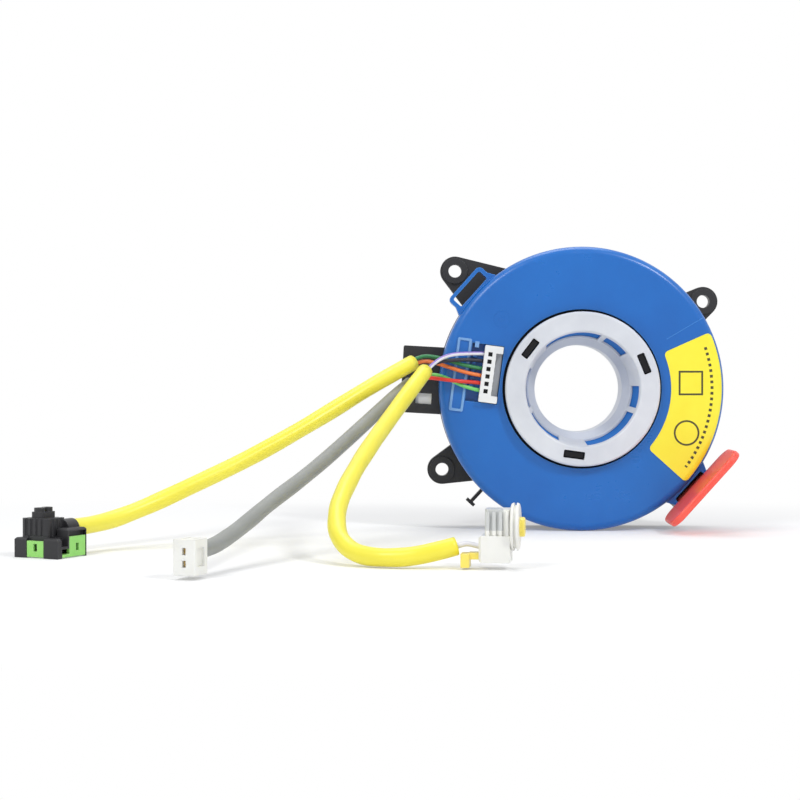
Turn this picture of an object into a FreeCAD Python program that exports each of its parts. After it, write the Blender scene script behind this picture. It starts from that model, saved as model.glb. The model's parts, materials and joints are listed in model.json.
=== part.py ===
import FreeCAD, Part
import math
import os

# Steering clock spring, in millimetres. The origin is the column bore's centre on the back mounting face.
# +Y runs along the bore away from the driver, +X to the right and +Z up as the driver sees it.
# A depth is counted forward of the back face, so a point at depth d lies at y = -d.

# Main sizes
bore_radius = 15.0
face_width = 21.2
disc_front = 25.0

# Grey hub ring, from the bore outward
journal_wall = 1.92
bearing_clearance = 0.08
throat_step = 2.3
mouth_taper = 1.9
hub_wall = 0.6
hub_flange_width = 6.8
hub_flange_thickness = 1.8
hub_proud = 3.4
hub_bore_depth = 11.0
hub_throat_depth = hub_bore_depth + 3.0
hub_edge_rounding = 0.8
snap_lip_proud = 0.98
snap_lip_back = 0.1
snap_lip_front = 1.0
snap_lip_span = 34.0
hook_angles = (22.5, 142.5, 262.5)
hook_slot_inset = 3.0
hook_slot_length = 7.1
hook_slot_height = 2.6
hook_slot_corner = 0.4
window_height = 11.0
windows = ((275.0, 334.5), (340.4, 363.0), (38.9, 64.7), (70.4, 130.0), (158.0, 199.5), (205.5, 246.0))
journal_radius = bore_radius + journal_wall
bearing_radius = journal_radius + bearing_clearance
hub_throat_radius = bore_radius + throat_step
hub_mouth_radius = hub_throat_radius + mouth_taper
hub_flange_radius = hub_mouth_radius + hub_flange_width
hub_front = disc_front + hub_proud
snap_lip_radius = journal_radius + snap_lip_proud
hook_slot_radius = hub_mouth_radius + hook_slot_inset

# Cover, its skirt and its two lock lugs
opening_gap = 0.8
cover_opening = hub_flange_radius + opening_gap
disc_radius = cover_opening + face_width
cover_thickness = 2.2
rim_rounding = 2.6
skirt_thickness = 1.6
skirt_length = 12.4
skirt_back = disc_front - skirt_length
lug_angles = (138.0, 318.0)
lug_front = disc_front - 3.0
lug_thickness = 5.0
lug_back = lug_front - lug_thickness
lug_proud = 5.6
lug_reach = disc_radius + lug_proud
lug_width = 15.8
lug_root_width = lug_width + 2.8
lug_corner = 1.7
lug_shoulder = 1.9
slot_corner = 0.6
slot_height = 3.7
slot_margin = 1.25
slot_radius = lug_reach - slot_margin - slot_height / 2
slot_length = lug_width - 2.8

# Stator plate, bearing collar and outer wall
plate_thickness = 2.0
collar_wall = 2.0
collar_radius = bearing_radius + collar_wall
collar_height = hub_bore_depth - 2.0
snap_recess_radius = snap_lip_radius + 0.5
snap_recess_depth = snap_lip_front + 0.2
rotor_gap = 0.6
wall_gap = 0.3
wall_thickness = 1.6
wall_outer = disc_radius - skirt_thickness - rotor_gap
wall_inner = wall_outer - wall_thickness
wall_inset = 8.5
wall_front = disc_front - wall_inset
spigot_gap = 0.2
spigot_width = 1.4
spigot_outer = wall_inner - spigot_gap
spigot_inner = spigot_outer - spigot_width
spigot_height = 1.6
back_recess_collar = 4.0
back_recess_margin = 5.8
back_recess_inner = collar_radius + back_recess_collar
back_recess_outer = wall_outer - back_recess_margin
back_recess_depth = 0.8
back_recess_count = 6
back_rib_width = 3.0
film_step_width = 0.8
film_step_depth = 0.4
gusset_angles = (20.0, 65.0, 110.0, 245.0, 290.0)
gusset_width = 1.4
gusset_reach = 1.6
gusset_height = 6.5
gusset_toe = 1.0
gusset_root = wall_inner + 0.4

# Mounting ears: how far the hole's centre is beyond the rim, its angle, and where the web meets the rim
upper_left_ear_proud = 10.6
upper_right_ear_proud = 5.4
lower_left_ear_proud = 6.5
ears = (
    (disc_radius + upper_left_ear_proud, 136.0, 116.0, 145.5),
    (disc_radius + upper_right_ear_proud, 34.4, 25.5, 43.5),
    (disc_radius + lower_left_ear_proud, 211.2, 203.5, 225.0),
)
ear_rim = 2.85
ear_thickness = 3.2
ear_hole_radius = 2.25
ear_radius = ear_hole_radius + ear_rim
ear_boss_radius = ear_hole_radius + 2.15
ear_boss_height = 0.9
ear_root = disc_radius - 3.0

# Wire hook on the plate's lower left edge
hook_angle = 227.3
hook_proud = 6.6
hook_width = 1.1
hook_foot = 3.4
hook_depth = 3.0
hook_reach = disc_radius + hook_proud

# Lock boss that the transport tag points at
lock_angle = lug_angles[1]
boss_gap = 0.5
boss_thickness = 4.7
boss_inner = disc_radius + boss_gap
boss_outer = boss_inner + boss_thickness
boss_width = lug_width - 0.2
boss_front = lug_back - 1.4
boss_pocket_depth = 6.0
boss_foot = 1.0

# Inner drum, and the blue sleeve inside it
sleeve_clearance = 0.7
sleeve_fit = 0.1
sleeve_step = 1.0
sleeve_inner = hub_mouth_radius + sleeve_clearance
sleeve_wall = 1.0
drum_gap = 2.7
drum_wall = 1.6
drum_radius = sleeve_inner + sleeve_wall + drum_gap + drum_wall
drum_back = plate_thickness + 1.4
drum_ledge = 1.4
drum_flange_radius = cover_opening + 3.2
drum_flange_inner = sleeve_inner + sleeve_wall + 0.3
drum_flange_thickness = 1.6
drum_hook_length = hook_slot_length - 0.8
drum_hook_height = hook_slot_height - 0.8
drum_hook_below = 0.5

# Stator connector: a shroud on the wall, its header and pins
socket_angle = 176.8
socket_front = skirt_back - rotor_gap
socket_wall = 1.3
socket_key = 1.6
socket_offset = 3.8
socket_corner = 0.6
socket_key_height = 1.0
socket_key_inset = 1.5
header_fit = 0.15
header_key_room = 1.0
header_tongue_rim = 0.8
header_tongue_thickness = 1.05
header_tongue_end = 0.3
socket_depth = 11.1
socket_floor = wall_outer + socket_offset
socket_mouth = socket_floor + socket_depth
socket_window_length = 5.4
socket_window_height = 3.6
socket_window_across = 6.4
socket_window_inset = 0.6
pin_count = 6
pin_size = 0.64
pin_pitch = 2.5
socket_margin = 8.0
socket_width = pin_count * pin_pitch + socket_margin
pin_stub = 1.6
pin_reach = 5.9
pin_root = wall_inner - pin_stub
pin_tip = socket_floor + pin_reach
pin_clearance = 0.05
pin_chamfer = 0.2
pin_slot_height = pin_size + 0.76
stator_header_thickness = 1.6
anchor_outer = wall_inner - 1.0
anchor_inner = anchor_outer - 2.3
anchor_width = pin_count * pin_pitch - 0.4
anchor_front = wall_front - 4.1
anchor_corner = 0.5

# Flat cable, wound as half turns about two centres, with a low-friction film on each side
cable_thickness = 0.3
cable_half_turns = 11
cable_gap = 0.3
cable_inner = drum_radius + 0.7
cable_outer = anchor_inner - 0.5
film_thickness = 0.2
film_edge_gap = 0.2
film_inner = collar_radius + 0.4
film_gap = 0.5

# Header pocket in the cover. Across is along the row of wires, along is the way the wires leave.
wire_pitch = 2.5
wire_count = 6
wire_row_shift = 0.4
wire_diameter = 1.3
cavity_size = wire_diameter + 0.4
cavity_depth = 4.2
header_length = wire_count * wire_pitch + 4.2
header_width = 6.2
header_gap = 0.25
header_corner = 0.4
header_back = disc_front - 3.4
header_front = disc_front + 2.0
wire_depth = disc_front + 0.2
ledge_end = 2.4
ledge_length = header_length - 2 * ledge_end
ledge_width = 2.2
ledge_depth = 3.0
window_size = 1.4
window_inset = 1.3
terminal_fit = 0.1
terminal_wall = 0.3
terminal_box = 1.0
pocket_inset = 4.289
pocket_angle = 170.932
pocket_tilt = 7.5
pocket_run = 4.4
tub_floor = 1.2
tub_wall = 1.2
tub_gap = 0.2
comb_rib = 0.8
comb_along = 5.6
comb_length = 1.0
comb_height = 2.6
guide_width = 4.7
guide_over = 5.5
guide_length = header_length + guide_over
guide_rim = 0.8
guide_height = 0.6
guide_along = header_width / 2 + pocket_run + 0.3 + guide_width / 2
guide_across = -1.35
guide_post_along = 5.9
guide_post_across = header_length / 2 - 0.2
guide_post_length = 1.4
guide_post_width = 2.0
guide_corner = 0.6
guide_inner_corner = 0.4

# Yellow label on the cover's face and rim
label_inset = 4.0
label_inner = hub_flange_radius + label_inset
label_start = -42.0
label_end = 24.0
label_thickness = 0.15
label_wrap = 38.0
label_corner = 1.6

# Transport lock tag
tag_length = 32.4
tag_reach = 20.5
tag_thickness = 2.4
tag_corner = 5.0
tag_blade_gap = 0.3
tag_seat_gap = 0.3
tag_tip_gap = 0.4
tag_shift = 1.9
tag_offset = 0.5
tag_blade_thickness = 2.0
tag_blade_root = 3.0
tag_blade_corner = 0.3
tag_edge_share = 0.35

# Sleeves and wires
yellow_diameter = 5.4
grey_diameter = 4.6
long_yellow_route = [
    (-57.0, -30.5, 8.8), (-69.0, -41.5, 2.2), (-86.2, -52.5, -8.6), (-106.5, -64.0, -20.3),
    (-126.1, -74.0, -29.6), (-141.0, -81.6, -36.4), (-151.9, -91.8, -40.0), (-158.1, -103.4, -40.0),
]
short_yellow_route = [
    (-53.0, -35.5, 6.0), (-60.0, -50.0, -3.0), (-67.0, -70.0, -12.2), (-73.0, -91.0, -20.5),
    (-77.3, -108.0, -28.0), (-79.5, -118.5, -33.8), (-79.0, -128.5, -40.6), (-73.5, -136.0, -44.8),
    (-65.0, -141.2, -45.2), (-55.2, -142.4, -44.4), (-45.8, -140.6, -41.9),
]
grey_route = [
    (-58.0, -30.0, 1.8), (-65.5, -43.5, -4.4), (-76.5, -67.5, -14.4), (-88.0, -94.0, -24.2),
    (-98.6, -119.5, -31.6), (-105.0, -136.6, -36.9), (-109.9, -149.5, -40.1), (-112.6, -157.1, -41.0),
    (-114.7, -163.3, -41.0),
]
wire_routes = {
    "white_wire": [
        (-32.9, -25.2, 11.9), (-35.2, -26.0, 12.0), (-39.0, -27.9, 11.9), (-43.4, -29.8, 11.7),
        (-47.6, -31.1, 10.4), (-51.2, -33.5, 7.6), (-52.3, -35.8, 6.1),
    ],
    "black_wire": [
        (-33.2, -25.2, 9.4), (-35.5, -26.0, 9.7), (-39.4, -27.6, 9.9), (-43.6, -28.4, 9.7),
        (-48.2, -29.6, 9.2), (-52.5, -32.7, 7.4), (-53.7, -35.0, 5.9),
    ],
    "green_wire": [
        (-33.6, -25.2, 6.9), (-35.9, -26.0, 7.2), (-39.6, -26.7, 8.0), (-44.0, -26.6, 9.3),
        (-48.4, -26.3, 10.6), (-54.0, -28.0, 11.3), (-57.0, -30.8, 9.6),
    ],
    "orange_wire": [
        (-33.9, -25.2, 4.5), (-36.1, -26.0, 4.9), (-39.7, -26.7, 5.7), (-44.2, -26.6, 7.1),
        (-48.8, -26.4, 8.7), (-53.9, -27.4, 9.7), (-56.8, -30.1, 8.1),
    ],
    "red_wire": [
        (-34.2, -25.2, 2.0), (-36.7, -26.2, 2.3), (-40.8, -28.0, 2.6), (-45.2, -28.4, 3.0),
        (-49.3, -27.7, 3.6), (-52.6, -27.3, 3.9), (-55.9, -28.6, 3.1), (-57.25, -30.35, 2.15),
    ],
    "lime_wire": [
        (-34.5, -25.2, -0.5), (-37.0, -26.0, 0.1), (-41.0, -26.7, 1.4), (-45.2, -26.6, 3.6),
        (-49.8, -26.0, 5.0), (-54.2, -25.8, 4.4), (-57.3, -27.2, 2.6), (-58.6, -29.5, 1.5),
    ],
}

# Plug with its nose pointing up, at the end of the long yellow sleeve
squib_entry = 8.0
squib_length = 13.4
squib_side = 5.4
squib_width = 15.8
squib_height = 5.8
squib_chamfer = 0.5
squib_rear_length = 8.6
squib_rear_width = 6.4
squib_rear_height = 8.5
squib_wing = 1.8
squib_recess_depth = 2.0
squib_recess_floor = 3.4
squib_collar_radius = 2.9
squib_collar_length = 5.0
tower_start = 4.0
tower_length = 8.4
tower_width = 9.8
tower_centre = -3.9
tower_rounding = 1.2
tower_shoulder = 5.6
tower_height = 7.4
tower_inset_along = 1.0
tower_inset_across = 2.6
flute_pitch = 1.9
flute_radius = 0.5
nose_radius = 1.6
nose_height = 1.2
nose_spacing = 3.4
contact_radius = 0.95
contact_wall = 0.3
contact_depth = 6.0
contact_floor = 0.4
contact_fit = 0.02
contact_inset = 0.6
lock_plate = 0.9
lock_lift = 0.3
lock_travel = 1.3
lock_tongue = 1.0
lock_gap = 0.2
lock_face_inset = 0.05
lock_front_width = 6.0
lock_front_height = 4.7
lock_front_centre = -2.85
lock_side_length = 7.4
lock_side_start = 0.5
lock_side_height = 5.9
lock_strip_end = 11.2
keyhole_width = 1.3
keyhole_height = 2.2
keyhole_share = 0.35

# Straight plug at the end of the short yellow sleeve
inflator_entry = 4.1
inflator_heading = -8.0
inflator_gap = 6.6
inflator_length = 8.6
inflator_width = 9.2
inflator_height = 7.4
inflator_rib_height = 7.2
inflator_rib_width = 1.0
inflator_rib_inset = 0.5
inflator_rib_drop = 0.7
inflator_crest_start = 1.6
inflator_crest_inset = 1.2
inflator_crest_corner = 1.0
inflator_chamfer = 0.6
inflator_rib_count = 4
inflator_flange_radius = 6.6
inflator_flange_thickness = 2.4
inflator_flange_height = 9.6
inflator_flange_rounding = 0.7
inflator_groove_start = 0.9
inflator_groove_width = 0.7
inflator_groove_depth = 0.7
inflator_nose_seat = 1.4
inflator_nose_radius = 2.7
inflator_nose_length = 1.4
inflator_wire_spacing = 1.9
inflator_wire_fit = 0.05
inflator_wire_bore = 2.0
inflator_wire_bend = 0.45
inflator_nose_hole = 0.6
inflator_nose_hole_offset = 1.2
inflator_nose_hole_depth = 2.0
inflator_nose_rounding = 0.4
clip_head_length = 2.4
clip_width = 7.0
clip_height = 3.8
clip_drop = 1.4
clip_travel = 2.4
clip_insert = 4.0
clip_tongue_width = 4.2
clip_tongue_height = 1.8
clip_gap = 0.15
clip_inset = 1.2
clip_floor = 0.8
clip_corner = 0.4

# Two-way plug at the end of the grey sleeve
horn_entry = 5.8
horn_length = 8.0
horn_width = 6.4
horn_height = 9.4
horn_slot_width = 1.0
horn_slot_height = 1.8
horn_slot_spacing = 3.3
horn_slot_depth = 6.5
horn_latch_width = 2.4
horn_latch_length = 5.6
horn_latch_gap = 0.5
horn_recess_start = 2.2
horn_recess_end = 6.2
horn_recess_height = 4.8
horn_latch_thickness = 0.9
horn_recess_depth = 0.8
horn_blade = 0.5
horn_blade_inset = 1.2
horn_blade_gap = 0.2
horn_corner = 0.5

full_turn = 360.0

# Share of the shorter run that a cord's corner takes up
corner_share = 0.45

# How far a fused body reaches into its neighbour, and a cutting body past the surface it cuts
root_overlap = 0.5
past = 1.0
row_up = -1.0
axis_y = FreeCAD.Vector(0, 1, 0)

# The routes are listed for a header whose wires start here
route_origin = (-30.7, -25.2, 4.9)

parts = {}


def polar(radius, degrees, depth=0.0):
    angle = math.radians(degrees)
    return FreeCAD.Vector(radius * math.cos(angle), -depth, radius * math.sin(angle))


def disc(radius, back, front):
    return Part.makeCylinder(radius, front - back, FreeCAD.Vector(0, -front, 0), axis_y)


def ring(inner, outer, back, front):
    return disc(outer, back, front).cut(disc(inner, back - past, front + past))


def frame_at(origin, along, up):
    """Placement whose local x runs along, local z runs up, and local y completes them."""
    along = FreeCAD.Vector(along).normalize()
    up = FreeCAD.Vector(up).normalize()
    side = up.cross(along)
    return FreeCAD.Placement(FreeCAD.Matrix(
        along.x, side.x, up.x, origin.x,
        along.y, side.y, up.y, origin.y,
        along.z, side.z, up.z, origin.z,
        0, 0, 0, 1,
    ))


def placed(shape, placement):
    moved = shape.copy()
    moved.transformShape(placement.toMatrix())
    return moved


def box(x0, x1, y0, y1, z0, z1):
    return Part.makeBox(x1 - x0, y1 - y0, z1 - z0, FreeCAD.Vector(x0, y0, z0))


def rounded_box(x0, x1, y0, y1, z0, z1, radius):
    """A box whose four edges along local z are rounded."""
    body = box(x0, x1, y0, y1, z0, z1)
    upright = [edge for edge in body.Edges if abs(edge.tangentAt(edge.FirstParameter).z) > 0.99]
    return body.makeFillet(radius, upright)


def polygon_face(points):
    return Part.Face(Part.makePolygon([FreeCAD.Vector(*point) for point in points + points[:1]]))


def revolved(points):
    """A ring from its closed outline of (radius, depth) corners, turned about the bore axis."""
    face = polygon_face([(radius, -depth, 0) for radius, depth in points])
    return face.revolve(FreeCAD.Vector(0, 0, 0), axis_y, full_turn)


def sector(inner, outer, start, end, back, front):
    """An annular sector between two angles."""
    arcs = [
        Part.LineSegment(polar(inner, start), polar(outer, start)).toShape(),
        Part.Arc(polar(outer, start), polar(outer, (start + end) / 2), polar(outer, end)).toShape(),
        Part.LineSegment(polar(outer, end), polar(inner, end)).toShape(),
        Part.Arc(polar(inner, end), polar(inner, (start + end) / 2), polar(inner, start)).toShape(),
    ]
    face = Part.Face(Part.Wire(Part.__sortEdges__(arcs)))
    face.translate(FreeCAD.Vector(0, -front, 0))
    return face.extrude(FreeCAD.Vector(0, front - back, 0))


def radial_frame(degrees, depth=0.0):
    """Local x points outward at an angle, local y turns with it, and local z points to the driver."""
    return frame_at(FreeCAD.Vector(0, -depth, 0), polar(1.0, degrees), FreeCAD.Vector(0, -1, 0))


def tangent_points(centre, radius, point):
    """The two points of a circle in the XZ plane where lines from a point touch it."""
    away = point.sub(centre)
    distance = away.Length
    spread = math.acos(radius / distance)
    heading = math.atan2(away.z, away.x)
    return [
        centre.add(FreeCAD.Vector(radius * math.cos(heading + turn), 0, radius * math.sin(heading + turn)))
        for turn in (spread, -spread)
    ]


def fillet_edges(shape, radius, wanted):
    edges = [edge for edge in shape.Edges if wanted(edge)]
    return shape.makeFillet(radius, edges)


def cord_path(points, name, diameter):
    """Straight runs joined by tangent arcs, and the solid tube along them."""
    corners = [FreeCAD.Vector(*point) for point in points]
    edges = []
    last = corners[0]
    radii = []
    for before, corner, after in zip(corners, corners[1:], corners[2:]):
        coming = corner.sub(before)
        going = after.sub(corner)
        half = coming.getAngle(going) / 2
        setback = corner_share * min(coming.Length, going.Length)
        radius = setback / math.tan(half)
        start = corner.sub(FreeCAD.Vector(coming).normalize().multiply(setback))
        end = corner.add(FreeCAD.Vector(going).normalize().multiply(setback))
        inward = end.add(start).multiply(0.5).sub(corner).normalize()
        middle = corner.add(inward.multiply(radius / math.cos(half) - radius))
        edges.append(Part.LineSegment(last, start).toShape())
        edges.append(Part.Arc(start, middle, end).toShape())
        radii.append(radius)
        last = end
    edges.append(Part.LineSegment(last, corners[-1]).toShape())
    path = Part.Wire(edges)
    direction = corners[1].sub(corners[0])
    section = Part.Wire(Part.makeCircle(diameter / 2, corners[0], direction))
    tube = path.makePipeShell([section], True, False)
    expected = math.pi * (diameter / 2) ** 2 * path.Length
    print(f"{name}: length {path.Length:.1f}, smallest radius {min(radii):.1f},"
          f" volume {tube.Volume:.1f} of {expected:.1f}")
    return tube


def stator_base():
    """Back plate with the bearing collar, three screw ears, the lock boss and the wire hook."""
    shape = disc(disc_radius, 0, plate_thickness)
    for radius, angle, first, second in ears:
        centre = polar(radius, angle)
        roots = [polar(ear_root, first), polar(ear_root, second)]
        corners = [tangent_points(centre, ear_radius, root) for root in roots]
        outer = [max(pair, key=lambda point: point.Length) for pair in corners]
        web = Part.Face(Part.makePolygon([roots[0], outer[0], centre, outer[1], roots[1], roots[0]]))
        web = web.extrude(FreeCAD.Vector(0, -ear_thickness, 0))
        lobe = Part.makeCylinder(ear_radius, ear_thickness, centre, FreeCAD.Vector(0, -1, 0))
        boss = Part.makeCylinder(
            ear_boss_radius, ear_thickness + ear_boss_height, centre, FreeCAD.Vector(0, -1, 0))
        web = web.cut(disc(wall_outer + wall_gap, plate_thickness, ear_thickness))
        shape = shape.fuse([web, lobe, boss])
    block = box(boss_inner, boss_outer, -boss_width / 2, boss_width / 2, 0, boss_front)
    foot = box(ear_root, boss_outer, -boss_width / 2, boss_width / 2, 0, plate_thickness + boss_foot)
    pocket = box(
        slot_radius - slot_height / 2 + tag_blade_gap, slot_radius + slot_height / 2 - tag_blade_gap,
        -slot_length / 2, slot_length / 2, boss_front - boss_pocket_depth, boss_front + past)
    wall_clear = disc(wall_outer + wall_gap, plate_thickness, boss_front + past)
    lock = placed(block.fuse(foot).cut(pocket), radial_frame(lock_angle)).cut(wall_clear)
    stem = box(ear_root, hook_reach, -hook_width / 2, hook_width / 2, 0, hook_depth)
    toe = box(hook_reach - hook_width, hook_reach, -hook_foot / 2, hook_foot / 2, 0, hook_depth)
    hook = placed(stem.fuse(toe), radial_frame(hook_angle))
    hook = hook.cut(disc(wall_outer + wall_gap, plate_thickness, hook_depth + past))
    spigot = ring(spigot_inner, spigot_outer, 0, plate_thickness + spigot_height)
    collar = disc(collar_radius, 0, collar_height)
    shape = shape.fuse([lock, hook, spigot, collar])
    shape = shape.cut(disc(bearing_radius, -past, collar_height + past))
    shape = shape.cut(disc(snap_recess_radius, -past, snap_recess_depth))
    for radius, angle, first, second in ears:
        back = polar(radius, angle, -past)
        hole = Part.makeCylinder(
            ear_hole_radius, ear_thickness + ear_boss_height + 2 * past, back, FreeCAD.Vector(0, -1, 0))
        shape = shape.cut(hole)
    step = full_turn / back_recess_count
    for number in range(back_recess_count):
        rib = math.degrees(back_rib_width / 2 / back_recess_inner)
        start = number * step + rib
        end = (number + 1) * step - rib
        shape = shape.cut(sector(back_recess_inner, back_recess_outer, start, end, -past, back_recess_depth))
    return shape.removeSplitter()


def stator_case():
    """Outer wall with the connector shroud at its left and gussets round its foot."""
    shape = ring(wall_inner, wall_outer, plate_thickness, wall_front)
    shape = shape.cut(disc(wall_inner + film_step_width, wall_front - film_step_depth, wall_front + past))
    for angle in gusset_angles:
        profile = polygon_face([
            (gusset_root, -gusset_width / 2, plate_thickness),
            (wall_outer + gusset_reach, -gusset_width / 2, plate_thickness),
            (wall_outer + gusset_reach, -gusset_width / 2, plate_thickness + gusset_toe),
            (wall_outer, -gusset_width / 2, plate_thickness + gusset_height),
            (gusset_root, -gusset_width / 2, plate_thickness + gusset_height),
        ])
        gusset = profile.extrude(FreeCAD.Vector(0, gusset_width, 0))
        shape = shape.fuse(placed(gusset, radial_frame(angle)))
    half = socket_width / 2
    shell = rounded_box(
        gusset_root + root_overlap / 2, socket_mouth, -half, half, plate_thickness, socket_front,
        socket_corner)
    inside = box(
        socket_floor, socket_mouth + past, -half + socket_wall, half - socket_wall,
        plate_thickness + socket_wall, socket_front - socket_wall)
    window = box(
        socket_floor + socket_window_inset, socket_floor + socket_window_inset + socket_window_length,
        socket_window_across - socket_window_height / 2, socket_window_across + socket_window_height / 2,
        socket_front - socket_wall - past, socket_front + past)
    slot_half = pin_count * pin_pitch / 2
    middle = (plate_thickness + socket_front) / 2
    slot = box(
        wall_inner - past, socket_floor + past, -slot_half, slot_half,
        middle - pin_slot_height / 2, middle + pin_slot_height / 2)
    key = box(
        socket_floor, socket_mouth - socket_key_inset, half - socket_wall - socket_key_height,
        half - socket_wall + root_overlap / 2,
        middle - socket_key / 2, middle + socket_key / 2)
    shell = shell.cut(inside).cut(window).fuse(key)
    shell = placed(shell, radial_frame(socket_angle)).cut(disc(gusset_root, 0, socket_front + past))
    shape = shape.fuse(shell).cut(placed(slot, radial_frame(socket_angle)))
    return shape.removeSplitter()


def pin_places(count, pitch):
    return [(number - (count - 1) / 2) * pitch for number in range(count)]


def stator_header():
    """White block at the bottom of the shroud that holds the pins."""
    half = socket_width / 2 - socket_wall - header_fit
    middle = (plate_thickness + socket_front) / 2
    body = box(
        socket_floor, socket_floor + stator_header_thickness, -half, half - header_key_room,
        plate_thickness + socket_wall + header_fit, socket_front - socket_wall - header_fit)
    tongue_half = socket_window_height / 2 + header_tongue_rim
    tongue_front = socket_front - socket_wall - header_fit
    tongue = box(
        socket_floor, socket_floor + socket_window_inset + socket_window_length + header_tongue_end,
        socket_window_across - tongue_half, socket_window_across + tongue_half,
        tongue_front - header_tongue_thickness, tongue_front)
    body = body.fuse(tongue)
    half_hole = pin_size / 2 + pin_clearance
    for place in pin_places(pin_count, pin_pitch):
        body = body.cut(box(
            socket_floor - past, socket_floor + stator_header_thickness + past,
            place - half_hole, place + half_hole, middle - half_hole, middle + half_hole))
    return placed(body.removeSplitter(), radial_frame(socket_angle))


def stator_pins():
    """Six square pins from the flat cable's anchor out into the shroud."""
    middle = (plate_thickness + socket_front) / 2
    half = pin_size / 2
    pins = []
    for place in pin_places(pin_count, pin_pitch):
        pin = box(pin_root, pin_tip, place - half, place + half, middle - half, middle + half)
        tip = [edge for edge in pin.Edges if edge.CenterOfMass.x > pin_tip - 0.01]
        pins.append(placed(pin.makeChamfer(pin_chamfer, tip), radial_frame(socket_angle)))
    return Part.makeCompound(pins)


def cable_anchor():
    """Carrier inside the wall where the flat cable is joined to the pins."""
    middle = (plate_thickness + socket_front) / 2
    half = pin_size / 2 + pin_clearance
    back = plate_thickness + spigot_height + spigot_gap
    body = rounded_box(
        anchor_inner, anchor_outer, -anchor_width / 2, anchor_width / 2, back, anchor_front, anchor_corner)
    for place in pin_places(pin_count, pin_pitch):
        body = body.cut(box(
            pin_root - pin_clearance, anchor_outer + past, place - half, place + half,
            middle - half, middle + half))
    body = placed(body, radial_frame(socket_angle))
    return body.common(disc(spigot_outer, 0, disc_front))


def flat_cable():
    """The spiral flat cable: half turns about two centres, so each joins the next smoothly."""
    half = cable_thickness / 2
    growth = (cable_outer - cable_inner) / cable_half_turns
    back = plate_thickness + film_thickness + cable_gap
    front = wall_front - film_step_depth - cable_gap
    start = socket_angle - full_turn / 2 * (cable_half_turns % 2)
    axis = polar(1.0, start)
    across = polar(1.0, start + full_turn / 4)
    outline = {-half: [], half: []}
    for turn in range(cable_half_turns):
        sign = 1 if turn % 2 == 0 else -1
        centre = FreeCAD.Vector(axis).multiply(-sign * growth / 2)
        radius = cable_inner + growth * (turn + 0.5)
        for offset, edges in outline.items():
            reach = radius + offset
            first = centre.add(FreeCAD.Vector(axis).multiply(sign * reach))
            middle = centre.add(FreeCAD.Vector(across).multiply(sign * reach))
            last = centre.sub(FreeCAD.Vector(axis).multiply(sign * reach))
            edges.append((first, middle, last))
    edges = [Part.Arc(*points).toShape() for points in outline[half]]
    edges.append(Part.LineSegment(outline[half][-1][2], outline[-half][-1][2]).toShape())
    edges.extend(Part.Arc(*points).toShape() for points in outline[-half])
    edges.append(Part.LineSegment(outline[-half][0][0], outline[half][0][0]).toShape())
    face = Part.Face(Part.Wire(Part.__sortEdges__(edges)))
    face.translate(FreeCAD.Vector(0, -front, 0))
    return face.extrude(FreeCAD.Vector(0, front - back, 0))


def films():
    """Low-friction films behind and in front of the flat cable."""
    rear = ring(film_inner, spigot_inner - cable_gap, plate_thickness, plate_thickness + film_thickness)
    step = wall_front - film_step_depth
    front = ring(
        drum_radius + film_gap, wall_inner + film_step_width - film_edge_gap, step, step + film_thickness)
    return rear, front


def pocket_frame():
    """Local x is the way the wires leave, local y runs down their row, local z points to the driver."""
    tilt = math.radians(pocket_tilt)
    along = FreeCAD.Vector(-math.cos(tilt), 0, math.sin(tilt))
    return frame_at(polar(cover_opening + pocket_inset, pocket_angle), along, FreeCAD.Vector(0, -1, 0))


def routed(points):
    """A listed route, moved with the header."""
    header = polar(cover_opening + pocket_inset, pocket_angle, wire_depth)
    shift = header.sub(FreeCAD.Vector(*route_origin))
    return [tuple(FreeCAD.Vector(*point).add(shift)) for point in points]


def tub_outline(grow, back, front):
    """The header pocket's block in its own frame, larger than its hollow by grow."""
    left = header_width / 2 + pocket_run
    right = -header_width / 2 - header_gap
    half = header_length / 2 + header_gap
    return box(right - grow, left + grow, -half - grow, half + grow, back, front)


def inner_drum():
    """Black drum that the flat cable winds on, with three hooks that hold the hub ring."""
    seat = disc_front - cover_thickness
    shape = ring(drum_radius - drum_wall, drum_radius, drum_back, seat)
    flange = ring(drum_flange_inner, drum_flange_radius, seat - drum_flange_thickness, seat)
    ledge = ring(sleeve_inner, drum_radius - root_overlap, drum_back, drum_back + drum_ledge)
    shape = shape.fuse([flange, ledge])
    for angle in hook_angles:
        low = hook_slot_radius - drum_hook_height / 2
        high = hook_slot_radius + drum_hook_height / 2
        half = drum_hook_length / 2
        stem = box(low, high, -half, half, seat - drum_flange_thickness, hub_front - drum_hook_below)
        shape = shape.fuse(placed(stem, radial_frame(angle)))
    tub = tub_outline(tub_wall + tub_gap, header_back - tub_floor - tub_gap, disc_front + past)
    tub = placed(tub, pocket_frame())
    return shape.cut(tub.cut(disc(cover_opening - tub_gap, 0, disc_front + past))).removeSplitter()


def inner_sleeve():
    """Blue sleeve between the drum and the hub ring, close behind the ring's windows."""
    back = drum_back + drum_ledge
    front = hub_front - hub_flange_thickness
    step = hub_bore_depth + sleeve_fit
    outer = sleeve_inner + sleeve_wall
    behind = hub_wall + sleeve_fit
    return revolved([
        (sleeve_inner, back), (sleeve_inner, step), (hub_throat_radius + behind, step + sleeve_step),
        (hub_throat_radius + behind, hub_throat_depth), (hub_radius(front) + behind, front),
        (outer, front), (outer, back),
    ])


def hub_radius(depth):
    share = (depth - hub_throat_depth) / (hub_front - hub_throat_depth)
    return hub_throat_radius + (hub_mouth_radius - hub_throat_radius) * share


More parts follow.
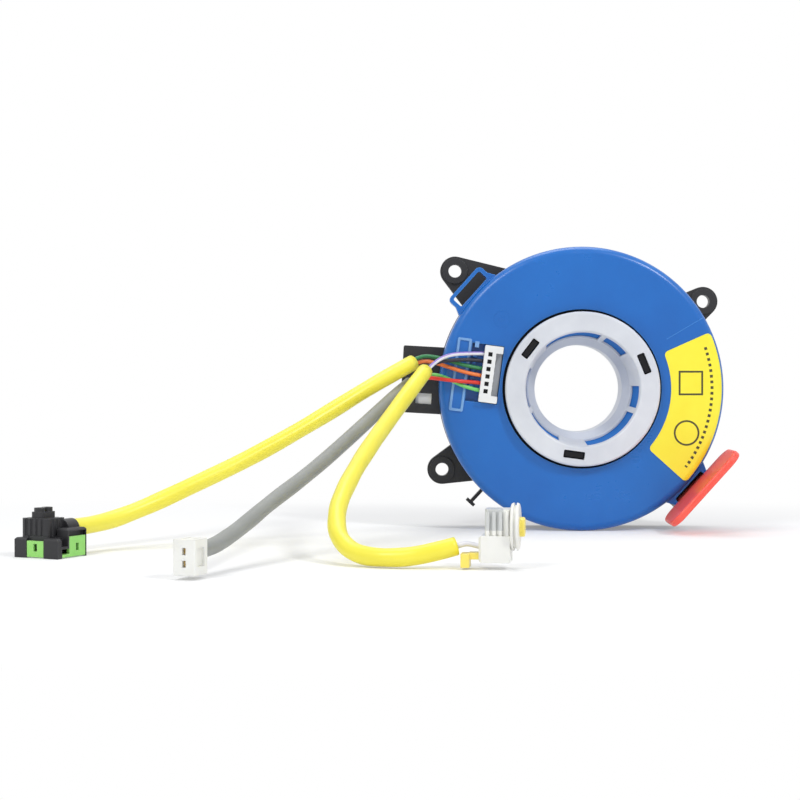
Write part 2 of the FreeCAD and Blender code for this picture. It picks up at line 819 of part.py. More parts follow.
def hub_ring():
    """Grey ring: flange, tapered windowed wall, cone and the column bore running in the stator's collar."""
    under = hub_front - hub_flange_thickness
    shape = revolved([
        (bore_radius, 0), (bore_radius, hub_bore_depth), (hub_throat_radius, hub_throat_depth),
        (hub_mouth_radius, hub_front), (hub_flange_radius, hub_front), (hub_flange_radius, under),
        (hub_radius(under) + hub_wall, under), (hub_throat_radius + hub_wall, hub_throat_depth),
        (journal_radius, hub_bore_depth), (journal_radius, 0),
    ])
    shape = fillet_edges(shape, hub_edge_rounding, lambda edge: (
        isinstance(edge.Curve, Part.Circle) and abs(edge.Curve.Radius - hub_flange_radius) < 0.01
        and abs(edge.Curve.Center.y + hub_front) < 0.01))
    shape = fillet_edges(shape, hub_edge_rounding, lambda edge: (
        isinstance(edge.Curve, Part.Circle) and abs(edge.Curve.Radius - hub_mouth_radius) < 0.01
        and abs(edge.Curve.Center.y + hub_front) < 0.01))
    for angle in hook_angles:
        slot = rounded_box(
            hook_slot_radius - hook_slot_height / 2, hook_slot_radius + hook_slot_height / 2,
            -hook_slot_length / 2, hook_slot_length / 2, under - past, hub_front + past, hook_slot_corner)
        shape = shape.cut(placed(slot, radial_frame(angle)))
    for start, end in windows:
        shape = shape.cut(sector(
            bore_radius, hub_mouth_radius + sleeve_clearance, start, end, under - window_height, under))
    for angle in hook_angles:
        lip = sector(
            journal_radius - root_overlap, snap_lip_radius,
            angle - snap_lip_span / 2, angle + snap_lip_span / 2, snap_lip_back, snap_lip_front)
        shape = shape.fuse(lip)
    return shape.removeSplitter()


def rotor_cover():
    """Blue cover: face, rounded rim and skirt, two lock lugs, the header's pocket and the wire guides."""
    face_back = disc_front - cover_thickness
    skirt_inner = disc_radius - skirt_thickness
    shape = revolved([
        (cover_opening, face_back), (cover_opening, disc_front), (disc_radius, disc_front),
        (disc_radius, skirt_back), (skirt_inner, skirt_back), (skirt_inner, face_back),
    ])
    shape = fillet_edges(shape, rim_rounding, lambda edge: (
        isinstance(edge.Curve, Part.Circle) and abs(edge.Curve.Radius - disc_radius) < 0.01
        and abs(edge.Curve.Center.y + disc_front) < 0.01))
    for angle in lug_angles:
        root = disc_radius - skirt_thickness / 2
        shoulder = disc_radius + lug_shoulder
        outline = polygon_face([
            (root, -lug_root_width / 2, lug_back), (shoulder, -lug_width / 2, lug_back),
            (lug_reach, -lug_width / 2, lug_back), (lug_reach, lug_width / 2, lug_back),
            (shoulder, lug_width / 2, lug_back), (root, lug_root_width / 2, lug_back),
        ])
        lug = outline.extrude(FreeCAD.Vector(0, 0, lug_front - lug_back))
        lug = fillet_edges(lug, lug_corner, lambda edge: (
            abs(edge.CenterOfMass.x - lug_reach) < 0.01
            and abs(abs(edge.CenterOfMass.y) - lug_width / 2) < 0.01))
        slot = rounded_box(
            slot_radius - slot_height / 2, slot_radius + slot_height / 2, -slot_length / 2, slot_length / 2,
            lug_back - past, lug_front + past, slot_corner)
        shape = shape.fuse(placed(lug.cut(slot), radial_frame(angle)))
        shape = shape.cut(disc(skirt_inner, skirt_back - past, face_back))
    tub_back = header_back - tub_floor
    hollow = tub_outline(0.0, header_back, disc_front + past)
    tub = tub_outline(tub_wall, tub_back, face_back + root_overlap)
    tub = placed(tub, pocket_frame()).cut(disc(cover_opening, 0, disc_front))
    shape = shape.fuse(tub).cut(placed(hollow, pocket_frame()))
    additions = []
    for number in range(wire_count - 1):
        across = (number - (wire_count - 2) / 2) * wire_pitch + wire_row_shift
        middle = row_up * across
        additions.append(box(
            comb_along, comb_along + comb_length, middle - comb_rib / 2, middle + comb_rib / 2,
            header_back - root_overlap, header_back + comb_height))
    post = row_up * guide_post_across
    additions.append(box(
        guide_post_along - guide_post_length / 2, guide_post_along + guide_post_length / 2,
        post - guide_post_width / 2, post + guide_post_width / 2,
        header_back - root_overlap, disc_front + guide_height))
    low = row_up * guide_across - guide_length / 2
    high = row_up * guide_across + guide_length / 2
    left = guide_along + guide_width / 2
    right = guide_along - guide_width / 2
    frame = rounded_box(
        right, left, low, high, disc_front - root_overlap, disc_front + guide_height, guide_corner)
    opening = rounded_box(
        right + guide_rim, left - guide_rim, low + guide_rim, high - guide_rim,
        disc_front + guide_height / 3, disc_front + past, guide_inner_corner)
    additions.append(frame.cut(opening))
    shape = shape.fuse([placed(piece, pocket_frame()) for piece in additions])
    return shape.removeSplitter()


def front_header():
    """White wire header: a row of cavities on the wires' side, small windows and a sunk ledge in front."""
    half = header_length / 2
    side = header_width / 2
    shape = rounded_box(-side, side, -half, half, header_back, header_front, header_corner)
    shape = shape.cut(box(
        -side - past, -side + ledge_width, -ledge_length / 2, ledge_length / 2,
        header_front - ledge_depth, header_front + past))
    for place in pin_places(wire_count, wire_pitch):
        across = row_up * (place + wire_row_shift)
        shape = shape.cut(box(
            side - cavity_depth, side + past, across - cavity_size / 2, across + cavity_size / 2,
            wire_depth - cavity_size / 2, wire_depth + cavity_size / 2))
        shape = shape.cut(box(
            side - window_inset - window_size, side - window_inset,
            across - window_size / 2, across + window_size / 2,
            wire_depth, header_front + past))
    return placed(shape.removeSplitter(), pocket_frame())


def front_terminals():
    """Crimped terminals at the bottom of the header's cavities."""
    side = header_width / 2
    pieces = []
    for place in pin_places(wire_count, wire_pitch):
        across = row_up * (place + wire_row_shift)
        half = cavity_size / 2 - terminal_fit
        root = side - cavity_depth
        low = wire_depth - half
        shell = box(root, side - terminal_fit / 2, across - half, across + half, low, wire_depth)
        slit = box(
            root + terminal_box, side, across - half + terminal_wall, across + half - terminal_wall,
            low + terminal_wall, wire_depth + past)
        pieces.append(placed(shell.cut(slit), pocket_frame()))
    return Part.makeCompound(pieces)


def label():
    """Plain yellow film on the cover's face, wrapped onto the rounded rim."""
    start_radius = disc_radius - rim_rounding
    outer = rim_rounding + label_thickness
    wrap = math.radians(label_wrap)
    centre_depth = disc_front - rim_rounding

    def rim(radius, angle):
        return FreeCAD.Vector(
            start_radius + radius * math.sin(angle), -(centre_depth + radius * math.cos(angle)), 0)

    inner_low = FreeCAD.Vector(label_inner, -disc_front, 0)
    inner_high = FreeCAD.Vector(label_inner, -disc_front - label_thickness, 0)
    edges = [
        Part.LineSegment(inner_low, rim(rim_rounding, 0)).toShape(),
        Part.Arc(rim(rim_rounding, 0), rim(rim_rounding, wrap / 2), rim(rim_rounding, wrap)).toShape(),
        Part.LineSegment(rim(rim_rounding, wrap), rim(outer, wrap)).toShape(),
        Part.Arc(rim(outer, wrap), rim(outer, wrap / 2), rim(outer, 0)).toShape(),
        Part.LineSegment(rim(outer, 0), inner_high).toShape(),
        Part.LineSegment(inner_high, inner_low).toShape(),
    ]
    face = Part.Face(Part.Wire(edges))
    face.rotate(FreeCAD.Vector(0, 0, 0), axis_y, -label_start)
    shape = face.revolve(FreeCAD.Vector(0, 0, 0), axis_y, -(label_end - label_start))
    reach = start_radius + outer * math.sin(wrap)
    plan = sector(label_inner, reach, label_start, label_end, disc_front - rim_rounding, disc_front + past)
    plan = fillet_edges(plan, label_corner, lambda edge: (
        abs(edge.tangentAt(edge.FirstParameter).y) > 0.99))
    return shape.common(plan)


def lock_tag():
    """Red paddle whose blade passes through the lower lug and stops short of the lock boss."""
    blade_length = slot_length - 2 * tag_blade_gap
    blade_outer = slot_radius + slot_height / 2 - tag_blade_gap
    tip = boss_front + tag_tip_gap
    seat = lug_front + tag_seat_gap
    top = seat + tag_reach
    blade = rounded_box(
        blade_outer - tag_blade_thickness, blade_outer,
        -blade_length / 2, blade_length / 2, tip, seat + tag_blade_root, tag_blade_corner)
    low = slot_radius + tag_offset - tag_thickness / 2
    high = low + tag_thickness
    paddle = box(low, high, tag_shift - tag_length / 2, tag_shift + tag_length / 2, seat, top)
    paddle = paddle.makeFillet(tag_corner, [
        edge for edge in paddle.Edges
        if abs(edge.tangentAt(edge.FirstParameter).x) > 0.99])
    paddle = fillet_edges(paddle, tag_thickness * tag_edge_share, lambda edge: (
        abs(edge.CenterOfMass.x - high) < 0.01 or abs(edge.CenterOfMass.x - low) < 0.01))
    return placed(paddle.fuse(blade).removeSplitter(), radial_frame(lock_angle))


def plug_frame(place, entry, degrees):
    """A plug's frame below the point where its cord enters: local x runs along the heading, local z is up."""
    angle = math.radians(degrees)
    along = FreeCAD.Vector(math.cos(angle), math.sin(angle), 0)
    foot = FreeCAD.Vector(place[0], place[1], place[2] - entry)
    return frame_at(foot, along, FreeCAD.Vector(0, 0, 1))


def end_frame(route, entry):
    """The plug's frame at a route's end, heading the way its last run points."""
    before, end = routed(route)[-2:]
    return plug_frame(end, entry, math.degrees(math.atan2(end[1] - before[1], end[0] - before[0])))


def squib_plug():
    """Right-angled plug: base with a raised rear corner, cable collar, fluted tower and two contact noses."""
    low_side = squib_side - squib_width
    shape = box(0, squib_length, low_side, squib_side, 0, squib_height)
    shape = shape.makeChamfer(squib_chamfer, [
        edge for edge in shape.Edges if edge.CenterOfMass.z > squib_height - 0.01])
    rear = box(0, squib_rear_length, squib_side - squib_rear_width, squib_side, 0, squib_rear_height)
    rear = rear.makeChamfer(squib_chamfer, [
        edge for edge in rear.Edges if edge.CenterOfMass.z > squib_rear_height - 0.01])
    forward = FreeCAD.Vector(1, 0, 0)
    collar = Part.makeCylinder(
        squib_collar_radius, squib_collar_length, FreeCAD.Vector(0, 0, squib_entry), forward)
    saddle = box(
        0, squib_collar_length, -squib_collar_radius, squib_collar_radius,
        squib_height - root_overlap, squib_entry)
    x0, x1 = tower_start, tower_start + tower_length
    y0, y1 = tower_centre - tower_width / 2, tower_centre + tower_width / 2
    middle = (x0 + x1) / 2
    top = squib_height + tower_height
    shoulder = rounded_box(
        x0, x1, y0, y1, squib_height - root_overlap, squib_height + tower_shoulder, tower_rounding)
    tower = rounded_box(
        x0 + tower_inset_along, x1 - tower_inset_along, y0 + tower_inset_across, y1 - tower_inset_across,
        squib_height, top, tower_rounding)
    flutes = []
    foot = squib_height + squib_chamfer
    for place in pin_places(int((tower_width - tower_rounding) / flute_pitch), flute_pitch):
        for x in (x0, x1):
            flutes.append(Part.makeCylinder(
                flute_radius, tower_shoulder + past, FreeCAD.Vector(x, tower_centre + place, foot)))
    for place in pin_places(int((tower_length - tower_rounding) / flute_pitch), flute_pitch):
        for y in (y0, y1):
            flutes.append(Part.makeCylinder(
                flute_radius, tower_shoulder + past, FreeCAD.Vector(middle + place, y, foot)))
    shape = shape.fuse([rear, collar, saddle, shoulder, tower]).cut(flutes)
    for side in (-0.5, 0.5):
        centre = FreeCAD.Vector(middle + side * nose_spacing, tower_centre, top - root_overlap)
        nose = Part.makeCylinder(nose_radius, nose_height + root_overlap, centre)
        low = FreeCAD.Vector(centre.x, centre.y, top + nose_height - contact_depth)
        hole = Part.makeCylinder(contact_radius, contact_depth + past, low)
        shape = shape.fuse(nose).cut(hole)
    clear = lock_gap
    rise = lock_lift + lock_travel + clear
    side_end = lock_side_start + lock_side_length
    front_low = lock_front_centre - lock_front_width / 2 - clear
    front_high = lock_front_centre + lock_front_width / 2 + clear
    shape = shape.cut(box(
        lock_side_start - clear, lock_strip_end + clear, front_low, squib_side + past,
        -past, rise + lock_plate))
    shape = shape.cut(box(
        lock_strip_end, squib_length + past, front_low, front_high, -past, rise + lock_plate))
    shape = shape.cut(box(
        squib_length - lock_tongue - clear, squib_length + past, front_low, front_high,
        -past, rise + lock_front_height))
    shape = shape.cut(box(
        lock_side_start - clear, side_end + clear, squib_side - lock_tongue - clear, squib_side + past,
        -past, rise + lock_side_height))
    shape = shape.cut(box(
        squib_rear_length, squib_length - squib_wing, squib_side - squib_recess_depth, squib_side + past,
        squib_recess_floor, squib_height + past))
    return placed(shape.removeSplitter(), end_frame(long_yellow_route, squib_entry))


def squib_lock():
    """Green lock: a plate under the plug with a keyed tongue at the front and one at the side."""
    low = lock_lift
    top = low + lock_plate
    front_end = squib_length - lock_face_inset
    side_face = squib_side - lock_face_inset
    side_end = lock_side_start + lock_side_length
    front_low = lock_front_centre - lock_front_width / 2
    front_high = lock_front_centre + lock_front_width / 2
    plate = box(lock_side_start, lock_strip_end, front_low, side_face, low, top)
    strip = box(lock_strip_end - root_overlap, front_end, front_low, front_high, low, top)
    front = box(squib_length - lock_tongue, front_end, front_low, front_high, low, low + lock_front_height)
    side = box(
        lock_side_start, side_end, squib_side - lock_tongue, side_face, low, low + lock_side_height)
    key_low = low + lock_front_height * keyhole_share
    key_high = key_low + keyhole_height
    key_half = keyhole_width / 2
    middle = (lock_side_start + side_end) / 2
    front = front.cut(box(
        squib_length - 2 * lock_tongue, squib_length,
        lock_front_centre - key_half, lock_front_centre + key_half,
        key_low, key_high))
    side = side.cut(box(
        middle - key_half, middle + key_half, squib_side - 2 * lock_tongue, squib_side,
        key_low, key_high))
    shape = plate.fuse([strip, front, side]).removeSplitter()
    return placed(shape, end_frame(long_yellow_route, squib_entry))


def squib_contacts():
    """Two brass contact tubes in the noses."""
    top = squib_height + tower_height + nose_height
    middle = tower_start + tower_length / 2
    tubes = []
    for side in (-0.5, 0.5):
        base = FreeCAD.Vector(middle + side * nose_spacing, tower_centre, top - contact_depth)
        outer = Part.makeCylinder(contact_radius - contact_fit, contact_depth - contact_inset, base)
        hollow = base.add(FreeCAD.Vector(0, 0, contact_floor))
        inner = Part.makeCylinder(contact_radius - contact_wall, contact_depth, hollow)
        tubes.append(placed(outer.cut(inner), end_frame(long_yellow_route, squib_entry)))
    return Part.makeCompound(tubes)


def inflator_frame():
    return plug_frame(routed(short_yellow_route)[-1], inflator_entry, inflator_heading)


def inflator_plug():
    """Natural plug: ribbed body, round flange at its nose and a slot for its clip."""
    half = inflator_width / 2
    x0 = inflator_gap
    x1 = inflator_gap + inflator_length
    shape = box(x0, x1, -half, half, 0, inflator_height)
    shape = shape.makeChamfer(
        inflator_chamfer, [edge for edge in shape.Edges if edge.CenterOfMass.x < x0 + 0.01])
    top = inflator_height + inflator_rib_height
    crest_start = x0 + inflator_crest_start
    crest = rounded_box(
        crest_start, x1, -half + inflator_crest_inset, half - inflator_crest_inset,
        inflator_height - root_overlap, top, inflator_crest_corner)
    shape = shape.fuse(crest)
    step = (x1 - crest_start) / inflator_rib_count
    for number in range(inflator_rib_count):
        x = crest_start + (number + 0.5) * step
        rib = box(
            x - inflator_rib_width / 2, x + inflator_rib_width / 2,
            -half + inflator_rib_inset, half - inflator_rib_inset,
            inflator_height - root_overlap, top - inflator_rib_drop)
        shape = shape.fuse(rib)
    forward = FreeCAD.Vector(1, 0, 0)
    seat = FreeCAD.Vector(x1, 0, inflator_flange_height)
    flange = Part.makeCylinder(inflator_flange_radius, inflator_flange_thickness, seat, forward)
    flange = fillet_edges(
        flange, inflator_flange_rounding, lambda edge: isinstance(edge.Curve, Part.Circle))
    ring_start = seat.add(FreeCAD.Vector(inflator_groove_start, 0, 0))
    groove = Part.makeCylinder(inflator_flange_radius + past, inflator_groove_width, ring_start, forward)
    core = Part.makeCylinder(
        inflator_flange_radius - inflator_groove_depth, inflator_groove_width, ring_start, forward)
    shape = shape.fuse(flange).cut(groove.cut(core))
    nose_seat = seat.add(FreeCAD.Vector(inflator_flange_thickness - inflator_nose_seat, 0, 0))
    shape = shape.cut(Part.makeCylinder(
        inflator_nose_radius + contact_fit, inflator_flange_thickness, nose_seat, forward))
    tongue_half = clip_tongue_width / 2 + clip_gap
    shape = shape.cut(box(
        x0 - past, x0 + clip_insert + clip_travel + clip_gap, -half + clip_inset - clip_gap,
        -half + clip_inset + 2 * tongue_half - clip_gap,
        clip_floor - clip_gap, clip_floor + clip_tongue_height + clip_gap))
    for side in (-0.5, 0.5):
        shape = shape.cut(Part.makeCylinder(
            wire_diameter / 2 + inflator_wire_fit, inflator_wire_bore,
            FreeCAD.Vector(x0 - past, side * inflator_wire_spacing, inflator_entry), forward))
    return placed(shape.removeSplitter(), inflator_frame())


def inflator_nose():
    """Yellow insert in the middle of the natural plug's nose."""
    x = inflator_gap + inflator_length + inflator_flange_thickness
    base = FreeCAD.Vector(x - inflator_nose_seat, 0, inflator_flange_height)
    shape = Part.makeCylinder(
        inflator_nose_radius, inflator_nose_length + inflator_nose_seat, base, FreeCAD.Vector(1, 0, 0))
    for side in (-1, 1):
        shape = shape.cut(Part.makeCylinder(
            inflator_nose_hole, inflator_nose_hole_depth + past, FreeCAD.Vector(
                x + inflator_nose_length - inflator_nose_hole_depth, side * inflator_nose_hole_offset,
                inflator_flange_height),
            FreeCAD.Vector(1, 0, 0)))
    shape = fillet_edges(shape, inflator_nose_rounding, lambda edge: (
        isinstance(edge.Curve, Part.Circle) and abs(edge.Curve.Radius - inflator_nose_radius) < 0.01
        and edge.Curve.Center.x > x))
    return placed(shape, inflator_frame())


def inflator_clip():
    """Yellow clip behind the natural plug, whose tongue slides into its body."""
    half = inflator_width / 2
    x0 = inflator_gap
    low = clip_floor
    middle = -half + clip_inset + clip_tongue_width / 2
    tongue = box(
        x0 - clip_travel - root_overlap, x0 + clip_insert,
        middle - clip_tongue_width / 2, middle + clip_tongue_width / 2, low, low + clip_tongue_height)
    back = x0 - clip_travel - clip_gap
    side = middle + clip_width / 2 - clip_inset
    head = rounded_box(
        back - clip_head_length, back, middle - clip_width / 2, side,
        -clip_drop, clip_height - clip_drop, clip_corner)
    return placed(tongue.fuse(head).removeSplitter(), inflator_frame())


def inflator_wires():
    """The two white wires that show between the short yellow sleeve and its plug."""
    before, end = [FreeCAD.Vector(*point) for point in routed(short_yellow_route)[-2:]]
    frame = inflator_frame()
    leaving = end.sub(before).normalize()
    side = leaving.cross(FreeCAD.Vector(0, 0, 1)).normalize()
    wires = []
    for sign in (-0.5, 0.5):
        start = end.sub(FreeCAD.Vector(side).multiply(sign * inflator_wire_spacing))
        goal = frame.multVec(FreeCAD.Vector(inflator_gap, sign * inflator_wire_spacing, inflator_entry))
        bend = start.add(FreeCAD.Vector(leaving).multiply(inflator_gap * inflator_wire_bend))
        points = [tuple(start), tuple(bend), tuple(goal)]
        wires.append(cord_path(points, "inflator wire", wire_diameter))
    return Part.makeCompound(wires)


def horn_plug():
    """White two-way plug: mating slots in its front, a latch arm on top and recesses at its sides."""
    half = horn_width / 2
    shape = rounded_box(0, horn_length, -half, half, 0, horn_height, horn_corner)
    middle = horn_height / 2
    for side in (-0.5, 0.5):
        centre = middle + side * horn_slot_spacing
        shape = shape.cut(box(
            horn_length - horn_slot_depth, horn_length + past, -horn_slot_width / 2, horn_slot_width / 2,
            centre - horn_slot_height / 2, centre + horn_slot_height / 2))
    for sign in (-1, 1):
        recess = box(
            horn_recess_start, horn_recess_end, half - horn_recess_depth, half + past,
            middle - horn_recess_height / 2, middle + horn_recess_height / 2)
        if sign < 0:
            recess = recess.mirror(FreeCAD.Vector(0, 0, 0), FreeCAD.Vector(0, 1, 0))
        shape = shape.cut(recess)
    arm_low = horn_height - horn_latch_thickness
    under = box(
        -past, horn_latch_length, -horn_latch_width / 2, horn_latch_width / 2,
        arm_low - horn_latch_gap, arm_low)
    gaps = [
        box(-past, horn_latch_length, y, y + horn_latch_gap, arm_low - horn_latch_gap, horn_height + past)
        for y in (-horn_latch_width / 2 - horn_latch_gap, horn_latch_width / 2)
    ]
    return placed(shape.cut([under] + gaps).removeSplitter(), end_frame(grey_route, horn_entry))


def horn_terminals():
    """Two spring terminals inside the plug's slots."""
    middle = horn_height / 2
    blades = []
    for side in (-0.5, 0.5):
        centre = middle + side * horn_slot_spacing
        blades.append(placed(
            box(
                horn_length - horn_slot_depth, horn_length - horn_blade_inset,
                -horn_slot_width / 2, -horn_slot_width / 2 + horn_blade,
                centre - horn_slot_height / 2 + horn_blade_gap,
                centre + horn_slot_height / 2 - horn_blade_gap),
            end_frame(grey_route, horn_entry)))
    return Part.makeCompound(blades)


parts["stator_base"] = stator_base()
parts["stator_case"] = stator_case()
parts["stator_header"] = stator_header()
parts["stator_pins"] = stator_pins()
parts["cable_anchor"] = cable_anchor()
parts["flat_cable"] = flat_cable()
parts["rear_film"], parts["front_film"] = films()
parts["inner_drum"] = inner_drum()
parts["inner_sleeve"] = inner_sleeve()
parts["hub_ring"] = hub_ring()
parts["rotor_cover"] = rotor_cover()
parts["front_header"] = front_header()
parts["front_terminals"] = front_terminals()
parts["label"] = label()
parts["lock_tag"] = lock_tag()
parts["long_yellow_sleeve"] = cord_path(routed(long_yellow_route), "long_yellow_sleeve", yellow_diameter)
parts["short_yellow_sleeve"] = cord_path(routed(short_yellow_route), "short_yellow_sleeve", yellow_diameter)
parts["grey_sleeve"] = cord_path(routed(grey_route), "grey_sleeve", grey_diameter)
for wire, route in wire_routes.items():
    parts[wire] = cord_path(routed(route), wire, wire_diameter)
parts["squib_plug"] = squib_plug()
parts["squib_lock"] = squib_lock()
parts["squib_contacts"] = squib_contacts()
parts["inflator_plug"] = inflator_plug()
parts["inflator_nose"] = inflator_nose()
parts["inflator_clip"] = inflator_clip()
parts["inflator_wires"] = inflator_wires()
parts["horn_plug"] = horn_plug()
parts["horn_terminals"] = horn_terminals()

os.makedirs("parts", exist_ok=True)
for name, shape in parts.items():
    bounds = shape.BoundBox
    print(f"{name}: {len(shape.Solids)} solids, valid {shape.isValid()}, volume {shape.Volume:.1f},"
          f" x {bounds.XMin:.1f}..{bounds.XMax:.1f}, y {bounds.YMin:.1f}..{bounds.YMax:.1f},"
          f" z {bounds.ZMin:.1f}..{bounds.ZMax:.1f}")
    shape.exportStep(f"parts/{name}.step")
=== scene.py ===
import json
import math

import bmesh
import bpy
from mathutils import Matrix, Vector


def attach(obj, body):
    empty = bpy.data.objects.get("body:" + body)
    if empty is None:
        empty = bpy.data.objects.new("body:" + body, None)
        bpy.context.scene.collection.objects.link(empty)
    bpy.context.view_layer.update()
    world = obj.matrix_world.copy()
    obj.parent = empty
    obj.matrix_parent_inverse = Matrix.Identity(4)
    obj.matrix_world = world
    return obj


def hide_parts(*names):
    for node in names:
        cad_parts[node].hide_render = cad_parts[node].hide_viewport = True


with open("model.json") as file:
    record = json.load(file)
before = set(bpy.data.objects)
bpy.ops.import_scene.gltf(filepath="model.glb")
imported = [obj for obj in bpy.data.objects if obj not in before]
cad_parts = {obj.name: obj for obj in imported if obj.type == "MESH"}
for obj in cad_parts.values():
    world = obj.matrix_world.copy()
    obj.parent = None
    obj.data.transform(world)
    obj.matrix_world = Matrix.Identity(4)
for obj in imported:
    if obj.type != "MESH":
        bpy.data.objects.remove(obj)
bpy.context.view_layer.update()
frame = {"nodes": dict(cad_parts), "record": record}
nodes = frame["nodes"]
print("frame loaded")


class Sock:
    # one socket of a node; sums and products on it add Math nodes
    def __init__(self, finish, socket):
        self.finish = finish
        self.socket = socket

    def join(self, operation, *values):
        return self.finish.math(operation, *values)

    def __add__(self, other):
        return self.join("ADD", self, other)

    def __sub__(self, other):
        return self.join("SUBTRACT", self, other)

    def __rsub__(self, other):
        return self.join("SUBTRACT", other, self)

    def __mul__(self, other):
        return self.join("MULTIPLY", self, other)

    def __pow__(self, other):
        return self.join("POWER", self, other)

    def __lt__(self, other):
        return self.join("LESS_THAN", self, other)

    def __gt__(self, other):
        return self.join("GREATER_THAN", self, other)

    def __abs__(self):
        return self.join("ABSOLUTE", self)

    def clamped(self):
        return self.finish.node("ShaderNodeClamp", {}, {"Value": self})

    def largest(self, other):
        return self.join("MAXIMUM", self, other)


class Finish:
    # the node tree of a material or of the world
    def __init__(self, owner, outputKind="ShaderNodeOutputMaterial"):
        self.owner = owner
        self.outputKind = outputKind
        owner.use_nodes = True
        self.tree = owner.node_tree
        self.tree.nodes.clear()

    def node(self, kind, settings, sockets, out=0):
        made = self.tree.nodes.new(kind)
        for key, value in settings.items():
            setattr(made, key, value)
        for key, value in sockets.items():
            if isinstance(value, Sock):
                self.tree.links.new(value.socket, made.inputs[key])
            else:
                made.inputs[key].default_value = value
        return Sock(self, made.outputs[out]) if made.outputs else made

    def place(self):
        return self.node("ShaderNodeTexCoord", {}, {}, "Object")

    def axes(self):
        spot = self.place()
        return [self.node("ShaderNodeSeparateXYZ", {}, {"Vector": spot}, out) for out in ("X", "Y", "Z")]

    def math(self, operation, *values):
        return self.node("ShaderNodeMath", {"operation": operation}, dict(enumerate(values)))

    def noise(self, scale, detail=3.0, rough=0.55, stretch=None):
        spot = self.place()
        if stretch:
            spot = self.node("ShaderNodeVectorMath", {"operation": "MULTIPLY"}, {0: spot, 1: stretch})
        return self.node("ShaderNodeTexNoise", {}, {
            "Vector": spot, "Scale": scale, "Detail": detail, "Roughness": rough})

    def mix(self, factor, first, second):
        # Factor is input 0, the two colours are inputs 6 and 7, and the colour comes out at 2
        return self.node("ShaderNodeMix", {"data_type": "RGBA"}, {0: factor, 6: first, 7: second}, 2)

    def tone(self, noise, colour, deeper, start=0.35, gain=2.0):
        # the deeper colour where the noise is high
        return self.mix((noise - start) * gain, colour, deeper)

    def gloss(self, noise, rough, swing):
        # a roughness that swings about one value
        return (noise - 0.5) * swing + rough

    def bump(self, height, distance, strength, edge=None):
        # with an edge the corners look rounded by that radius
        sockets = {"Height": height, "Distance": distance, "Strength": strength}
        if edge:
            sockets["Normal"] = self.node("ShaderNodeBevel", {"samples": 4}, {"Radius": edge})
        return self.node("ShaderNodeBump", {}, sockets)

    def edges(self, reach, gain):
        # 1 where the surface turns within this reach, 0 on flat places
        rounded = self.node("ShaderNodeBevel", {"samples": 6}, {"Radius": reach})
        flat = self.node("ShaderNodeNewGeometry", {}, {}, "Normal")
        alike = self.node(
            "ShaderNodeVectorMath", {"operation": "DOT_PRODUCT"}, {0: rounded, 1: flat}, "Value")
        return ((1.0 - alike) * gain).clamped()

    def rays(self):
        # camera, glossy and transmission rays, which see the white background
        seen = [self.node("ShaderNodeLightPath", {}, {}, out)
                for out in ("Is Camera Ray", "Is Glossy Ray", "Is Transmission Ray")]
        return seen[0].largest(seen[1]).largest(seen[2])

    def shadeWith(self, shader):
        self.node(self.outputKind, {}, {"Surface": shader})
        return self.owner

    def surface(self, **sockets):
        named = {key.replace("_", " "): value for key, value in sockets.items()}
        return self.shadeWith(self.node("ShaderNodeBsdfPrincipled", {}, named))


def newFinish(name):
    return Finish(bpy.data.materials.new(name))


def shade(red, green, blue):
    # a colour written as it looks on a screen, from 0 to 255
    def linear(value):
        share = value / 255
        return share / 12.92 if share <= 0.04045 else ((share + 0.055) / 1.055) ** 2.4
    return (linear(red), linear(green), linear(blue), 1.0)


# noises are given as scale, detail and roughness
mouldedGrain = {
    "flow": (38.0, 4.0), "rub": (160.0, 5.0, 0.65), "fineDetail": 2.0, "toneGain": 2.2, "glossSwing": 0.22,
    "wearAndHighlightReach": 0.0004, "wearAndHighlightGain": 5.0, "wearAndHighlightShare": 0.9, "flowHeight": 2.0, "depth": 0.00003,
    "strength": 0.6,
}
tubeGrain = {
    "slow": (45.0, 3.0), "chalk": (260.0, 6.0, 0.7), "crease": (600.0, 3.0, 0.6), "slowHeight": 3.0,
    "chalkSwing": 0.3, "creaseHeight": 0.4, "depth": 0.00005, "strength": 0.5,
    "stripedSwing": 0.2, "stripedDepth": 0.00004, "stripedStrength": 0.6,
}
metalGrain = {
    "slow": (300.0, 4.0), "fine": (2600.0, 3.0), "toneStart": 0.3, "toneGain": 1.8, "glossSwing": 0.3,
    "depth": 0.00001, "strength": 0.5,
}


def moulded(name, colour, deeper, rough, worn=None, grain=900.0, edge=0.00025, paint=None, **more):
    # moulded plastic: slow flow marks in the colour, fine grain in the bump, rubbed patches in the gloss
    finish = newFinish(name)
    flow = finish.noise(*mouldedGrain["flow"])
    fine = finish.noise(grain, mouldedGrain["fineDetail"])
    rub = finish.noise(*mouldedGrain["rub"])
    tone = finish.tone(flow, colour, deeper, gain=mouldedGrain["toneGain"])
    # lighter edges where the rub noise is high: rubbed wear and painted highlight
    if worn:
        wearAndHighlightMask = finish.edges(mouldedGrain["wearAndHighlightReach"], mouldedGrain["wearAndHighlightGain"])
        tone = finish.mix(wearAndHighlightMask * (rub * mouldedGrain["wearAndHighlightShare"]), tone, worn)
    if paint:
        tone = paint(finish, tone)
    roughness = finish.gloss(rub, rough, mouldedGrain["glossSwing"])
    normal = finish.bump(
        fine + flow * mouldedGrain["flowHeight"], mouldedGrain["depth"], mouldedGrain["strength"], edge)
    return finish.surface(Base_Color=tone, Roughness=roughness.clamped(), Normal=normal, **more)
